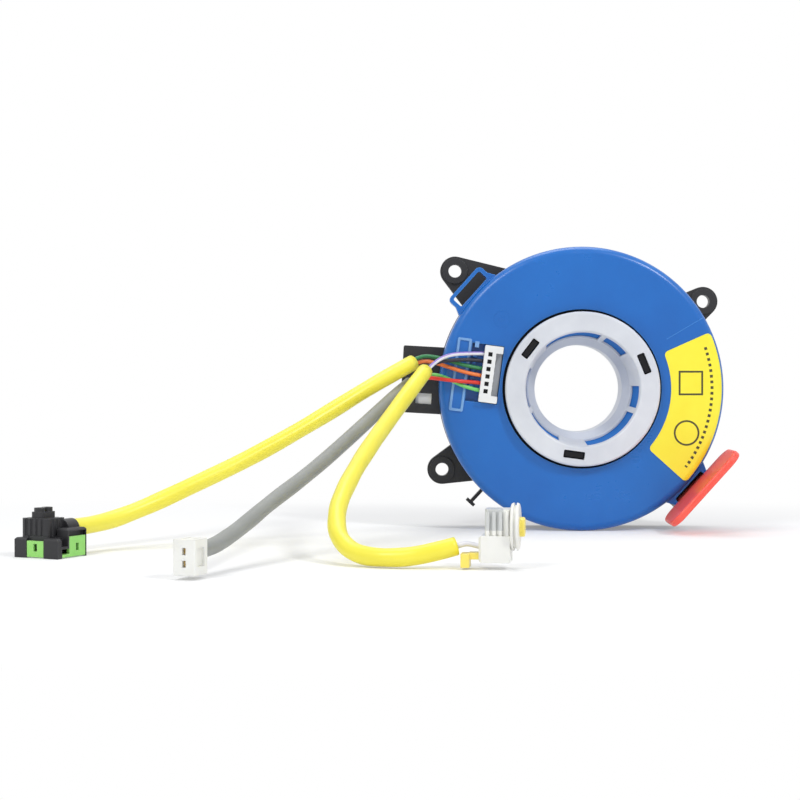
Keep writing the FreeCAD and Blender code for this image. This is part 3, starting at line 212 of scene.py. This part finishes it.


# each look's lighter edge colour stands for rubbed wear and painted highlight
blackLook = {
    "colour": shade(38, 38, 41), "deeper": shade(25, 25, 28), "worn": shade(66, 66, 70), "rough": 0.44,
    "grain": 2200.0,
}
greenLook = {
    "colour": shade(156, 224, 116), "deeper": shade(132, 208, 92), "worn": shade(206, 242, 176),
    "rough": 0.33,
}
redLook = {
    "colour": shade(254, 100, 84), "deeper": shade(246, 80, 66), "worn": shade(255, 168, 152), "rough": 0.36,
}
yellowLook = {
    "colour": shade(250, 232, 112), "deeper": shade(244, 218, 78), "worn": shade(252, 244, 176),
    "rough": 0.32,
}


def bluePlastic():
    # lighter front rim and edges, partly rubbed wear and partly painted highlight, a seam and a round mark on
    # the face, and painted highlight on the raised wire guides
    look = {
        "face": shade(12, 106, 192), "deep": shade(8, 90, 172), "worn": shade(84, 160, 238),
        "raised": shade(150, 192, 232), "rough": 0.30,
        "flow": (30.0, 4.0), "fine": (1500.0, 2.0), "rub": (120.0, 6.0, 0.7),
        "scratch": (90.0, 4.0, 0.6, (1.0, 1.0, 14.0)),
        "toneStart": 0.3, "toneGain": 1.8,
        "rimFrom": 0.0463, "rimFront": -0.0236, "rimGain": 900.0, "rimShare": 0.35,
        "rubStart": 0.48, "rubGain": 4.0, "edgeReach": 0.0006, "edgeGain": 4.0, "edgeShare": 0.6,
        "seamAngle": 30.5, "seamFrom": 0.033, "seamHalf": 0.00014, "seamShare": 0.35,
        "markPlace": (-0.0270, 0.0235), "markRadius": 0.0027, "markLine": 0.0002, "dotShare": 0.35,
        "faceFrom": -0.0243, "raisedFrom": -0.0252, "raisedLeast": 0.1, "raisedRub": 0.9,
        "turnedWaves": 9000.0, "turnedHeight": 0.04,
        "rubSwing": 0.06, "flowSwing": 0.14, "scratchStart": 0.52, "scratchGain": 3.0, "scratchRough": 0.06,
        "fineHeight": 0.5, "flowHeight": 2.0, "markHeight": 6.0, "seamHeight": 5.0,
        "depth": 0.00003, "strength": 0.7, "edge": 0.00025,
    }
    finish = newFinish("blueMouldedPlastic")
    x, y, z = finish.axes()
    flow = finish.noise(*look["flow"])
    fine = finish.noise(*look["fine"])
    rub = finish.noise(*look["rub"])
    scratch = finish.noise(*look["scratch"])
    radius = (x * x + z * z) ** 0.5
    rim = ((radius - look["rimFrom"]) * look["rimGain"]).clamped() * (y < look["rimFront"])
    # painted highlight and rubbed wear on the front rim, in patches where the rub noise is high
    rimWearAndHighlight = rim * ((rub - look["rubStart"]) * look["rubGain"]).clamped()
    # painted highlight and wear where the surface turns at edges
    edgeWearAndHighlight = finish.edges(look["edgeReach"], look["edgeGain"])
    tone = finish.tone(flow, look["face"], look["deep"], look["toneStart"], look["toneGain"])
    tone = finish.mix(rimWearAndHighlight * look["rimShare"], tone, look["worn"])
    tone = finish.mix(edgeWearAndHighlight * look["edgeShare"], tone, look["worn"])
    markX, markZ = look["markPlace"]
    across = ((x - markX) ** 2.0 + (z - markZ) ** 2.0) ** 0.5
    circle = abs(across - look["markRadius"]) < look["markLine"]
    dot = abs(across - look["markRadius"] * look["dotShare"]) < look["markLine"]
    front = y < look["faceFrom"]
    mark = (circle + dot) * front
    seamX = math.cos(math.radians(look["seamAngle"]))
    seamZ = math.sin(math.radians(look["seamAngle"]))
    seamAlong = x * seamX + z * seamZ > look["seamFrom"]
    seam = (abs(x * seamZ - z * seamX) < look["seamHalf"]) * seamAlong * front
    # painted highlight on the raised wire guides and ribs at the left, paler where the rub noise is high
    raised = (y < look["raisedFrom"]) * (x < 0.0)
    paler = (rub * look["raisedRub"] + look["raisedLeast"]).clamped()
    tone = finish.mix(raised * paler, tone, look["raised"])
    tone = finish.mix(seam * look["seamShare"], tone, look["worn"])
    scratched = ((scratch - look["scratchStart"]) * look["scratchGain"]).clamped() * look["scratchRough"]
    roughness = finish.gloss(rub, look["rough"], look["rubSwing"])
    roughness = finish.gloss(flow, roughness, look["flowSwing"]) + scratched
    turned = finish.math("SINE", radius * look["turnedWaves"]) * look["turnedHeight"]
    height = fine * look["fineHeight"] + flow * look["flowHeight"] + turned
    height = height + mark * look["markHeight"] + seam * look["seamHeight"]
    normal = finish.bump(height, look["depth"], look["strength"], look["edge"])
    return finish.surface(
        Base_Color=tone, Roughness=roughness.clamped(), Normal=normal, Coat_Weight=0.06, Coat_Roughness=0.2)


def hubPlastic():
    # satin grey with fine turned rings
    look = {
        "hubPale": shade(218, 221, 227), "hubDeep": shade(196, 200, 209), "rough": 0.36,
        "flow": (60.0, 5.0), "fine": (1800.0, 3.0), "rub": (220.0, 5.0, 0.65), "rubSwing": 0.25,
        "turnedWaves": 14000.0, "turnedHeight": 0.15, "flowHeight": 2.0,
        "depth": 0.00003, "strength": 0.6, "edge": 0.0002,
    }
    finish = newFinish("greyHubPlastic")
    x, y, z = finish.axes()
    flow = finish.noise(*look["flow"])
    fine = finish.noise(*look["fine"])
    rub = finish.noise(*look["rub"])
    radius = (x * x + z * z) ** 0.5
    turned = finish.math("SINE", radius * look["turnedWaves"]) * look["turnedHeight"]
    # two greys mixed at random by the flow noise
    tone = finish.tone(flow, look["hubPale"], look["hubDeep"])
    roughness = finish.gloss(rub, look["rough"], look["rubSwing"])
    normal = finish.bump(
        fine + flow * look["flowHeight"] + turned, look["depth"], look["strength"], look["edge"])
    return finish.surface(
        Base_Color=tone, Roughness=roughness.clamped(), Normal=normal, Subsurface_Weight=0.08,
        Subsurface_Radius=(0.002, 0.002, 0.002), Subsurface_Scale=1.0)


def labelFilm():
    # an arc of ticks, a circle and a square in ink, which mean nothing
    look = {
        "film": shade(250, 240, 62), "filmDeep": shade(246, 230, 48), "ink": shade(34, 32, 28), "rough": 0.34,
        "flow": (70.0, 3.0), "fine": (700.0, 4.0),
        "tickRadius": 0.0437, "tickHeight": 0.0005, "tickFrom": -37.0, "tickTo": 19.0,
        "ticksPerDegree": 0.4, "tickShare": 0.5, "tickShift": 100.0,
        "ringPlace": (0.0352, -0.0148), "ringRadius": 0.0040,
        "framePlace": (0.0366, 0.0020), "frameHalf": 0.0038, "lineHalf": 0.00032,
        "inkShare": 0.96, "inkRough": 0.12, "fineSwing": 0.2, "flowHeight": 3.0, "inkHeight": 0.6,
        "depth": 0.00002, "strength": 0.7,
    }
    finish = newFinish("yellowLabelFilm")
    x, y, z = finish.axes()
    radius = (x * x + z * z) ** 0.5
    angle = finish.math("ARCTAN2", z, x) * (180.0 / math.pi)
    band = abs(radius - look["tickRadius"]) < look["tickHeight"]
    along = (angle > look["tickFrom"]) * (angle < look["tickTo"])
    comb = finish.math("FRACT", angle * look["ticksPerDegree"] + look["tickShift"]) < look["tickShare"]
    ticks = band * along * comb
    ringX, ringZ = look["ringPlace"]
    ringAway = ((x - ringX) ** 2.0 + (z - ringZ) ** 2.0) ** 0.5
    ring = abs(ringAway - look["ringRadius"]) < look["lineHalf"]
    frameX, frameZ = look["framePlace"]
    square = abs(x - frameX).largest(abs(z - frameZ))
    outline = abs(square - look["frameHalf"]) < look["lineHalf"]
    ink = (ticks + ring + outline).clamped()
    flow = finish.noise(*look["flow"])
    fine = finish.noise(*look["fine"])
    tone = finish.tone(flow, look["film"], look["filmDeep"])
    tone = finish.mix(ink * look["inkShare"], tone, look["ink"])
    roughness = finish.gloss(fine, look["rough"], look["fineSwing"]) + ink * look["inkRough"]
    normal = finish.bump(
        flow * look["flowHeight"] + fine + ink * look["inkHeight"], look["depth"], look["strength"])
    return finish.surface(Base_Color=tone, Roughness=roughness.clamped(), Normal=normal, Coat_Weight=0.1)


def naturalNylon():
    # the ribbed end of the straight plug is greyer
    look = {
        "colour": shade(241, 241, 236), "deeper": shade(227, 226, 218), "ribbed": shade(195, 198, 198),
        "ribbedFrom": (-0.0395, -0.0331), "ribbedAbove": -0.0372, "ribbedFront": -0.12, "ribbedShare": 0.8,
        "rough": 0.34,
    }

    def paint(finish, tone):
        x, y, z = finish.axes()
        left, right = look["ribbedFrom"]
        ribbed = (x > left) * (x < right) * (z > look["ribbedAbove"]) * (y < look["ribbedFront"])
        return finish.mix(ribbed * look["ribbedShare"], tone, look["ribbed"])

    return moulded(
        "naturalNylon", look["colour"], look["deeper"], look["rough"], paint=paint, Subsurface_Weight=0.15,
        Subsurface_Radius=(0.0015, 0.0015, 0.0012), Subsurface_Scale=1.0)


def headerNylon():
    # white header: painted shade darkens its small windows inside and greys its sunk ledge
    look = {
        "colour": shade(236, 237, 238), "deeper": shade(220, 222, 224), "ledge": shade(150, 154, 160),
        "window": shade(16, 16, 18), "rough": 0.36, "flow": (60.0, 4.0), "fine": (1200.0, 2.0),
        "centre": (-0.0307, 0.0049), "tilt": 7.5, "front": -0.0269,
        "pitch": 0.0025, "shift": 0.0004, "rowHalf": 0.0073, "rowShift": 50.0,
        "windowFrom": 0.0003, "windowTo": 0.0019, "windowHalf": 0.0008, "ledgeTo": -0.0009,
        "ledgeShare": 0.75, "fineSwing": 0.2, "flowHeight": 2.0, "depth": 0.00003, "strength": 0.6,
        "edge": 0.0002,
    }
    finish = newFinish("headerNylon")
    x, y, z = finish.axes()
    cosine = math.cos(math.radians(look["tilt"]))
    sine = math.sin(math.radians(look["tilt"]))
    right = x - look["centre"][0]
    up = z - look["centre"][1]
    along = up * sine - right * cosine
    down = right * -sine - up * cosine
    place = down + look["shift"]
    step = finish.math("FRACT", place * (1.0 / look["pitch"]) + look["rowShift"])
    inRow = (abs(step - 0.5) < look["windowHalf"] / look["pitch"]) * (abs(place) < look["rowHalf"])
    sunk = y > look["front"]
    # painted shade: the small windows dark inside
    window = inRow * (along > look["windowFrom"]) * (along < look["windowTo"]) * sunk
    # painted shade on the sunk ledge
    ledge = (along < look["ledgeTo"]) * sunk
    flow = finish.noise(*look["flow"])
    fine = finish.noise(*look["fine"])
    tone = finish.tone(flow, look["colour"], look["deeper"])
    tone = finish.mix(ledge * look["ledgeShare"], tone, look["ledge"])
    tone = finish.mix(window, tone, look["window"])
    roughness = finish.gloss(fine, look["rough"], look["fineSwing"])
    normal = finish.bump(fine + flow * look["flowHeight"], look["depth"], look["strength"], look["edge"])
    return finish.surface(Base_Color=tone, Roughness=roughness.clamped(), Normal=normal)


def stripedInsulation():
    # white wire with one violet stripe, which its mesh marks with the attribute stripe
    look = {
        "colour": shade(236, 236, 240), "deeper": shade(214, 214, 224), "stripe": shade(142, 116, 196),
        "rough": 0.33,
    }
    finish = newFinish("stripedInsulation")
    slow = finish.noise(*tubeGrain["slow"])
    crease = finish.noise(*tubeGrain["crease"])
    stripe = finish.node("ShaderNodeAttribute", {"attribute_name": "stripe"}, {}, "Fac")
    tone = finish.tone(slow, look["colour"], look["deeper"])
    tone = finish.mix(stripe.clamped(), tone, look["stripe"])
    roughness = finish.gloss(crease, look["rough"], tubeGrain["stripedSwing"])
    normal = finish.bump(
        crease + slow * tubeGrain["slowHeight"], tubeGrain["stripedDepth"], tubeGrain["stripedStrength"])
    return finish.surface(Base_Color=tone, Roughness=roughness.clamped(), Normal=normal)


def sleeving(name, colour, deeper, rough):
    # soft tube: slow tone changes, chalky patches, fine creases
    finish = newFinish(name)
    slow = finish.noise(*tubeGrain["slow"])
    chalk = finish.noise(*tubeGrain["chalk"])
    crease = finish.noise(*tubeGrain["crease"])
    tone = finish.tone(slow, colour, deeper)
    roughness = finish.gloss(chalk, rough, tubeGrain["chalkSwing"])
    normal = finish.bump(
        crease * tubeGrain["creaseHeight"] + slow * tubeGrain["slowHeight"], tubeGrain["depth"],
        tubeGrain["strength"])
    return finish.surface(
        Base_Color=tone, Roughness=roughness.clamped(), Normal=normal, Subsurface_Weight=0.1,
        Subsurface_Radius=(0.0015, 0.0015, 0.001), Subsurface_Scale=1.0)


def metal(name, colour, deeper, rough):
    finish = newFinish(name)
    slow = finish.noise(*metalGrain["slow"])
    fine = finish.noise(*metalGrain["fine"])
    tone = finish.tone(slow, colour, deeper, metalGrain["toneStart"], metalGrain["toneGain"])
    roughness = finish.gloss(slow, rough, metalGrain["glossSwing"])
    normal = finish.bump(fine, metalGrain["depth"], metalGrain["strength"])
    return finish.surface(
        Base_Color=tone, Roughness=roughness.clamped(), Normal=normal, Metallic=1.0)


finishes = {
    "black_plastic": moulded("blackMouldedPlastic", **blackLook),
    "blue_plastic": bluePlastic(),
    "grey_plastic": hubPlastic(),
    "natural_plastic": naturalNylon(),
    "yellow_plastic": moulded("yellowMouldedPlastic", **yellowLook),
    "green_plastic": moulded("greenMouldedPlastic", **greenLook),
    "red_plastic": moulded(
        "redMouldedPlastic", **redLook, Subsurface_Weight=0.35, Subsurface_Radius=(0.003, 0.001, 0.001),
        Subsurface_Scale=1.0),
    "yellow_film": labelFilm(),
    "slip_film": moulded("slipFilm", shade(226, 222, 208), shade(210, 205, 190), 0.35, edge=None),
    "cable_film": moulded("cableFilm", shade(205, 208, 210), shade(180, 184, 188), 0.25, edge=None),
    "yellow_sleeving": sleeving("yellowSleeving", shade(251, 240, 84), shade(244, 230, 60), 0.34),
    "grey_sleeving": sleeving("greySleeving", shade(150, 152, 148), shade(132, 134, 131), 0.45),
    "white_insulation": sleeving("whiteInsulation", shade(236, 236, 238), shade(214, 214, 222), 0.33),
    "black_insulation": sleeving("blackInsulation", shade(34, 36, 52), shade(24, 25, 36), 0.35),
    "green_insulation": sleeving("greenInsulation", shade(46, 132, 78), shade(32, 110, 62), 0.35),
    "orange_insulation": sleeving("orangeInsulation", shade(238, 128, 62), shade(224, 104, 40), 0.35),
    "red_insulation": sleeving("redInsulation", shade(226, 58, 46), shade(204, 40, 30), 0.35),
    "lime_insulation": sleeving("limeInsulation", shade(126, 214, 116), shade(98, 192, 90), 0.35),
    "tinned_metal": metal("tinnedMetal", shade(222, 222, 220), shade(190, 190, 186), 0.3),
    "contact_brass": metal("contactBrass", shade(222, 190, 120), shade(190, 152, 82), 0.28),
}

ownFinishes = {
    # black plastic, painted darker still than the other black as shade in the deep slots and gaps
    "inner_drum": moulded(
        "blackPlasticDarkenedAsShade", shade(17, 17, 22), shade(11, 11, 15), 0.55, worn=shade(44, 44, 50),
        Specular_IOR_Level=0.25),
    "inner_sleeve": moulded(
        "matteBluePlastic", shade(44, 124, 206), shade(32, 108, 190), 0.65, Specular_IOR_Level=0.1),
    "stator_header": moulded("whiteNylon", shade(252, 252, 250), shade(244, 244, 242), 0.4),
    "front_header": headerNylon(),
    # tin painted dark as shade, so the terminals look dark in the header's windows
    "front_terminals": metal("tinPaintedDarkAsShade", shade(70, 70, 72), shade(44, 44, 46), 0.45),
    "white_wire": stripedInsulation(),
}

for subpart in frame["record"]["subparts"]:
    node = nodes[subpart["node"]]
    node.data.materials.clear()
    node.data.materials.append(ownFinishes.get(subpart["node"], finishes[subpart["material_slot"]]))
print("finishes made")

splineLook = {"steps": 16, "order": 3}


def addMesh(name, build, body, slotName):
    mesh = bpy.data.meshes.new(name)
    form = bmesh.new()
    build(form)
    bmesh.ops.recalc_face_normals(form, faces=form.faces)
    form.to_mesh(mesh)
    form.free()
    piece = bpy.data.objects.new(name, mesh)
    bpy.context.scene.collection.objects.link(piece)
    mesh.materials.append(finishes[slotName])
    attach(piece, body)
    return piece


def routeSpline(name, points):
    curve = bpy.data.curves.new(name, "CURVE")
    curve.dimensions = "3D"
    curve.resolution_u = splineLook["steps"]
    spline = curve.splines.new("NURBS")
    spline.points.add(len(points) - 1)
    for control, point in zip(spline.points, points):
        control.co = (point[0], point[1], point[2], 1.0)
    spline.order_u = splineLook["order"]
    spline.use_endpoint_u = True
    return curve


def splinePoints(name, points):
    # the smooth line itself, read from the route's spline with no bevel
    curve = routeSpline(name + "Line", points)
    holder = bpy.data.objects.new(name + "Line", curve)
    bpy.context.scene.collection.objects.link(holder)
    line = bpy.data.meshes.new_from_object(holder.evaluated_get(bpy.context.evaluated_depsgraph_get()))
    path = [vertex.co.copy() for vertex in line.vertices]
    bpy.data.objects.remove(holder)
    bpy.data.meshes.remove(line)
    return path


def ringsAlong(form, path, radii, segments):
    # circles of vertices that follow a path with the least twist
    heading = (path[1] - path[0]).normalized()
    side = heading.orthogonal().normalized()
    rings = []
    for index, spot in enumerate(path):
        before = path[max(index - 1, 0)]
        after = path[min(index + 1, len(path) - 1)]
        turned = (after - before).normalized()
        side = (side - turned * side.dot(turned)).normalized()
        up = turned.cross(side)
        ring = []
        for step in range(segments):
            angle = 2 * math.pi * step / segments
            reach = radii(index, angle)
            ring.append(form.verts.new(spot + side * math.cos(angle) * reach + up * math.sin(angle) * reach))
        rings.append(ring)
    return rings


def skin(form, rings, smooth=True):
    for first, second in zip(rings, rings[1:]):
        count = len(first)
        for step in range(count):
            after = (step + 1) % count
            form.faces.new((first[step], first[after], second[after], second[step])).smooth = smooth


# the six wires between the header and the sleeves
wireSizes = {"radius": 0.00065, "segments": 14, "inside": 0.003, "stripeFaces": 3}
whiteWire = {
    "name": "whiteWire", "node": "white_wire", "slot": "white_insulation", "stripeAt": 3,
    "route": [
        (-0.0329, -0.0252, 0.0119), (-0.0352, -0.0260, 0.0120), (-0.0390, -0.0279, 0.0119),
        (-0.0434, -0.0298, 0.0117), (-0.0476, -0.0311, 0.0104), (-0.0512, -0.0335, 0.0076),
        (-0.0523, -0.0358, 0.0061),
    ],
}
blackWire = {
    "name": "blackWire", "node": "black_wire", "slot": "black_insulation",
    "route": [
        (-0.0332, -0.0252, 0.0094), (-0.0355, -0.0260, 0.0097), (-0.0394, -0.0276, 0.0099),
        (-0.0436, -0.0284, 0.0097), (-0.0482, -0.0296, 0.0092), (-0.0525, -0.0327, 0.0074),
        (-0.0537, -0.0350, 0.0059),
    ],
}
greenWire = {
    "name": "greenWire", "node": "green_wire", "slot": "green_insulation",
    "route": [
        (-0.0336, -0.0252, 0.0069), (-0.0359, -0.0260, 0.0072), (-0.0396, -0.0267, 0.0080),
        (-0.0440, -0.0266, 0.0093), (-0.0484, -0.0263, 0.0106), (-0.0540, -0.0280, 0.0113),
        (-0.0570, -0.0308, 0.0096),
    ],
}
orangeWire = {
    "name": "orangeWire", "node": "orange_wire", "slot": "orange_insulation",
    "route": [
        (-0.0339, -0.0252, 0.0045), (-0.0361, -0.0260, 0.0049), (-0.0397, -0.0267, 0.0057),
        (-0.0442, -0.0266, 0.0071), (-0.0488, -0.0264, 0.0087), (-0.0539, -0.0274, 0.0097),
        (-0.0568, -0.0301, 0.0081),
    ],
}
redWire = {
    "name": "redWire", "node": "red_wire", "slot": "red_insulation",
    "route": [
        (-0.0342, -0.0252, 0.0020), (-0.0367, -0.0262, 0.0023), (-0.0408, -0.0280, 0.0026),
        (-0.0452, -0.0284, 0.0030), (-0.0493, -0.0277, 0.0036), (-0.0526, -0.0273, 0.0039),
        (-0.0559, -0.0286, 0.0031), (-0.05725, -0.03035, 0.00215),
    ],
}
limeWire = {
    "name": "limeWire", "node": "lime_wire", "slot": "lime_insulation",
    "route": [
        (-0.0345, -0.0252, -0.0005), (-0.0370, -0.0260, 0.0001), (-0.0410, -0.0267, 0.0014),
        (-0.0452, -0.0266, 0.0036), (-0.0498, -0.0260, 0.0050), (-0.0542, -0.0258, 0.0044),
        (-0.0573, -0.0272, 0.0026), (-0.0586, -0.0295, 0.0015),
    ],
}


def makeWire(wire):
    # the wire runs on a little way inside its sleeve
    path = splinePoints(wire["name"], wire["route"])
    inward = (path[-1] - path[-2]).normalized()
    path.append(path[-1] + inward * wireSizes["inside"])
    segments = wireSizes["segments"]

    def build(form):
        rings = ringsAlong(form, path, lambda index, angle: wireSizes["radius"], segments)
        skin(form, rings)
        form.faces.new(list(reversed(rings[0])))
        form.faces.new(rings[-1])

    tube = addMesh(wire["name"], build, "rotor", wire["slot"])
    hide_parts(wire["node"])
    if "stripeAt" in wire:
        stripe = tube.data.attributes.new("stripe", "FLOAT", "POINT")
        for index in range(len(path) * segments):
            place = (index - wire["stripeAt"]) % segments
            stripe.data[index].value = 1.0 if place < wireSizes["stripeFaces"] else 0.0
        tube.data.materials[0] = ownFinishes[wire["node"]]
    return tube


for wire in (whiteWire, blackWire, greenWire, orangeWire, redWire, limeWire):
    makeWire(wire)
print("wires made")

# the three sleeves, whose wall stands inside the radius
sleeveWobble = {"turn": 0.31, "twist": 0.05}
longYellowSleeve = {
    "name": "longYellowSleeve", "node": "long_yellow_sleeve", "slot": "yellow_sleeving",
    "radius": 0.0027, "wall": 0.00045, "segments": 28, "wobble": 0.00007, "seed": 0.4,
    "plugs": ["squib_plug", "squib_contacts", "squib_lock"], "wires": ["green_wire", "orange_wire"],
    "route": [
        (-0.0570, -0.0305, 0.0088), (-0.0690, -0.0415, 0.0022), (-0.0862, -0.0525, -0.0086),
        (-0.1065, -0.0640, -0.0203), (-0.1261, -0.0740, -0.0296), (-0.1410, -0.0816, -0.0364),
        (-0.1519, -0.0918, -0.0400), (-0.1581, -0.1034, -0.0400),
    ],
}
shortYellowSleeve = {
    "name": "shortYellowSleeve", "node": "short_yellow_sleeve", "slot": "yellow_sleeving",
    "radius": 0.0027, "wall": 0.00045, "segments": 28, "wobble": 0.00007, "seed": 1.7,
    "plugs": ["inflator_plug", "inflator_nose", "inflator_clip", "inflator_wires"],
    "wires": ["white_wire", "black_wire"],
    "route": [
        (-0.0530, -0.0355, 0.0060), (-0.0600, -0.0500, -0.0030), (-0.0670, -0.0700, -0.0122),
        (-0.0730, -0.0910, -0.0205), (-0.0773, -0.1080, -0.0280), (-0.0795, -0.1185, -0.0338),
        (-0.0790, -0.1285, -0.0406), (-0.0735, -0.1360, -0.0448), (-0.0650, -0.1412, -0.0452),
        (-0.0552, -0.1424, -0.0444), (-0.0458, -0.1406, -0.0419),
    ],
}
greySleeve = {
    "name": "greySleeve", "node": "grey_sleeve", "slot": "grey_sleeving",
    "radius": 0.0023, "wall": 0.00040, "segments": 28, "wobble": 0.00005, "seed": 2.9,
    "plugs": ["horn_plug", "horn_terminals"], "wires": ["red_wire", "lime_wire"],
    "route": [
        (-0.0580, -0.0300, 0.0018), (-0.0655, -0.0435, -0.0044), (-0.0765, -0.0675, -0.0144),
        (-0.0880, -0.0940, -0.0242), (-0.0986, -0.1195, -0.0316), (-0.1050, -0.1366, -0.0369),
        (-0.1099, -0.1495, -0.0401), (-0.1126, -0.1571, -0.0410), (-0.1147, -0.1633, -0.0410),
    ],
}


def makeSleeve(sleeve):
    path = splinePoints(sleeve["name"], sleeve["route"])
    radius = sleeve["radius"]

    def outer(index, angle):
        # never past the radius, so the sleeve stays inside its solid
        along = math.sin(index * sleeveWobble["turn"] + sleeve["seed"])
        around = math.cos(2 * angle + index * sleeveWobble["twist"])
        return radius + sleeve["wobble"] * (along * around - 1.0)

    def inner(index, angle):
        return radius - sleeve["wall"]

    def build(form):
        shell = ringsAlong(form, path, outer, sleeve["segments"])
        hollow = ringsAlong(form, path, inner, sleeve["segments"])
        skin(form, shell)
        skin(form, hollow)
        for first, second in ((shell[0], hollow[0]), (shell[-1], hollow[-1])):
            skin(form, [first, second], smooth=False)

    tube = addMesh(sleeve["name"], build, "rotor", sleeve["slot"])
    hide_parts(sleeve["node"])


for sleeve in (longYellowSleeve, shortYellowSleeve, greySleeve):
    makeSleeve(sleeve)
print("sleeves made")

stageLook = {
    "tone": shade(250, 250, 250), "half": 3.0, "height": -0.048, "centre": (-0.060, -0.085),
    "reach": (0.17, 0.13), "fade": 0.8, "nearShare": 0.25,
}
skyLook = {"fill": (0.94, 0.96, 1.0, 1.0), "strength": 0.45}


def floorMaterial():
    # white to the camera far away, and plain near the object, where it shows the shadow
    finish = newFinish("paleFloor")
    x, y, z = finish.axes()
    centreX, centreY = stageLook["centre"]
    reachX, reachY = stageLook["reach"]
    away = (((x - centreX) * (1.0 / reachX)) ** 2.0 + ((y - centreY) * (1.0 / reachY)) ** 2.0) ** 0.5
    far = ((away - 1.0) * (1.0 / stageLook["fade"])).clamped()
    share = far * (1.0 - stageLook["nearShare"]) + stageLook["nearShare"]
    plain = finish.node("ShaderNodeBsdfDiffuse", {}, {"Color": stageLook["tone"]})
    white = finish.node("ShaderNodeEmission", {}, {"Color": (1.0, 1.0, 1.0, 1.0), "Strength": 1.0})
    blend = finish.node("ShaderNodeMixShader", {}, {0: finish.rays() * share, 1: plain, 2: white})
    return finish.shadeWith(blend)


def makeFloor():
    mesh = bpy.data.meshes.new("studioFloor")
    half = stageLook["half"]
    height = stageLook["height"]
    mesh.from_pydata(
        [(-half, -half, height), (half, -half, height), (half, half, height), (-half, half, height)], [],
        [(0, 1, 2, 3)])
    floor = bpy.data.objects.new("studioFloor", mesh)
    bpy.context.scene.collection.objects.link(floor)
    mesh.materials.append(floorMaterial())


def makeWorld():
    world = bpy.data.worlds.new("studioWorld")
    bpy.context.scene.world = world
    finish = Finish(world, "ShaderNodeOutputWorld")
    fill = finish.node(
        "ShaderNodeBackground", {}, {"Color": skyLook["fill"], "Strength": skyLook["strength"]})
    white = finish.node("ShaderNodeBackground", {}, {"Color": (1.0, 1.0, 1.0, 1.0), "Strength": 1.0})
    finish.shadeWith(finish.node("ShaderNodeMixShader", {}, {0: finish.rays(), 1: fill, 2: white}))


def makeLamp(name, place, aim, size, power):
    lamp = bpy.data.lights.new(name, "AREA")
    lamp.shape = "DISK"
    lamp.size = size
    lamp.energy = power
    holder = bpy.data.objects.new(name, lamp)
    bpy.context.scene.collection.objects.link(holder)
    holder.location = place
    holder.rotation_euler = (Vector(aim) - Vector(place)).to_track_quat("-Z", "Y").to_euler()


makeFloor()
makeWorld()
# place, aim, size across and power of each lamp
lamps = {
    "leftLamp": ((-0.55, -0.75, 0.70), (-0.03, -0.04, 0.0), 0.40, 3.6),
    "rightLamp": ((0.45, -0.60, 0.62), (0.0, -0.03, 0.0), 0.16, 3.0),
    "topLamp": ((-0.05, 0.15, 0.90), (0.0, -0.03, 0.0), 0.60, 3.0),
}
for lampName, lampLook in lamps.items():
    makeLamp(lampName, *lampLook)

cameraLook = {"place": (-0.06125, -0.656, 0.0073), "tilt": 89.0, "lens": 84.4, "sensor": 36.0}
camera = bpy.data.cameras.new("photoCamera")
camera.sensor_width = cameraLook["sensor"]
camera.lens = cameraLook["lens"]
holder = bpy.data.objects.new("photoCamera", camera)
bpy.context.scene.collection.objects.link(holder)
holder.location = cameraLook["place"]
holder.rotation_euler = (math.radians(cameraLook["tilt"]), 0.0, 0.0)
bpy.context.scene.camera = holder
bpy.context.scene.view_settings.view_transform = "Standard"
print("stage, lamps and camera made")
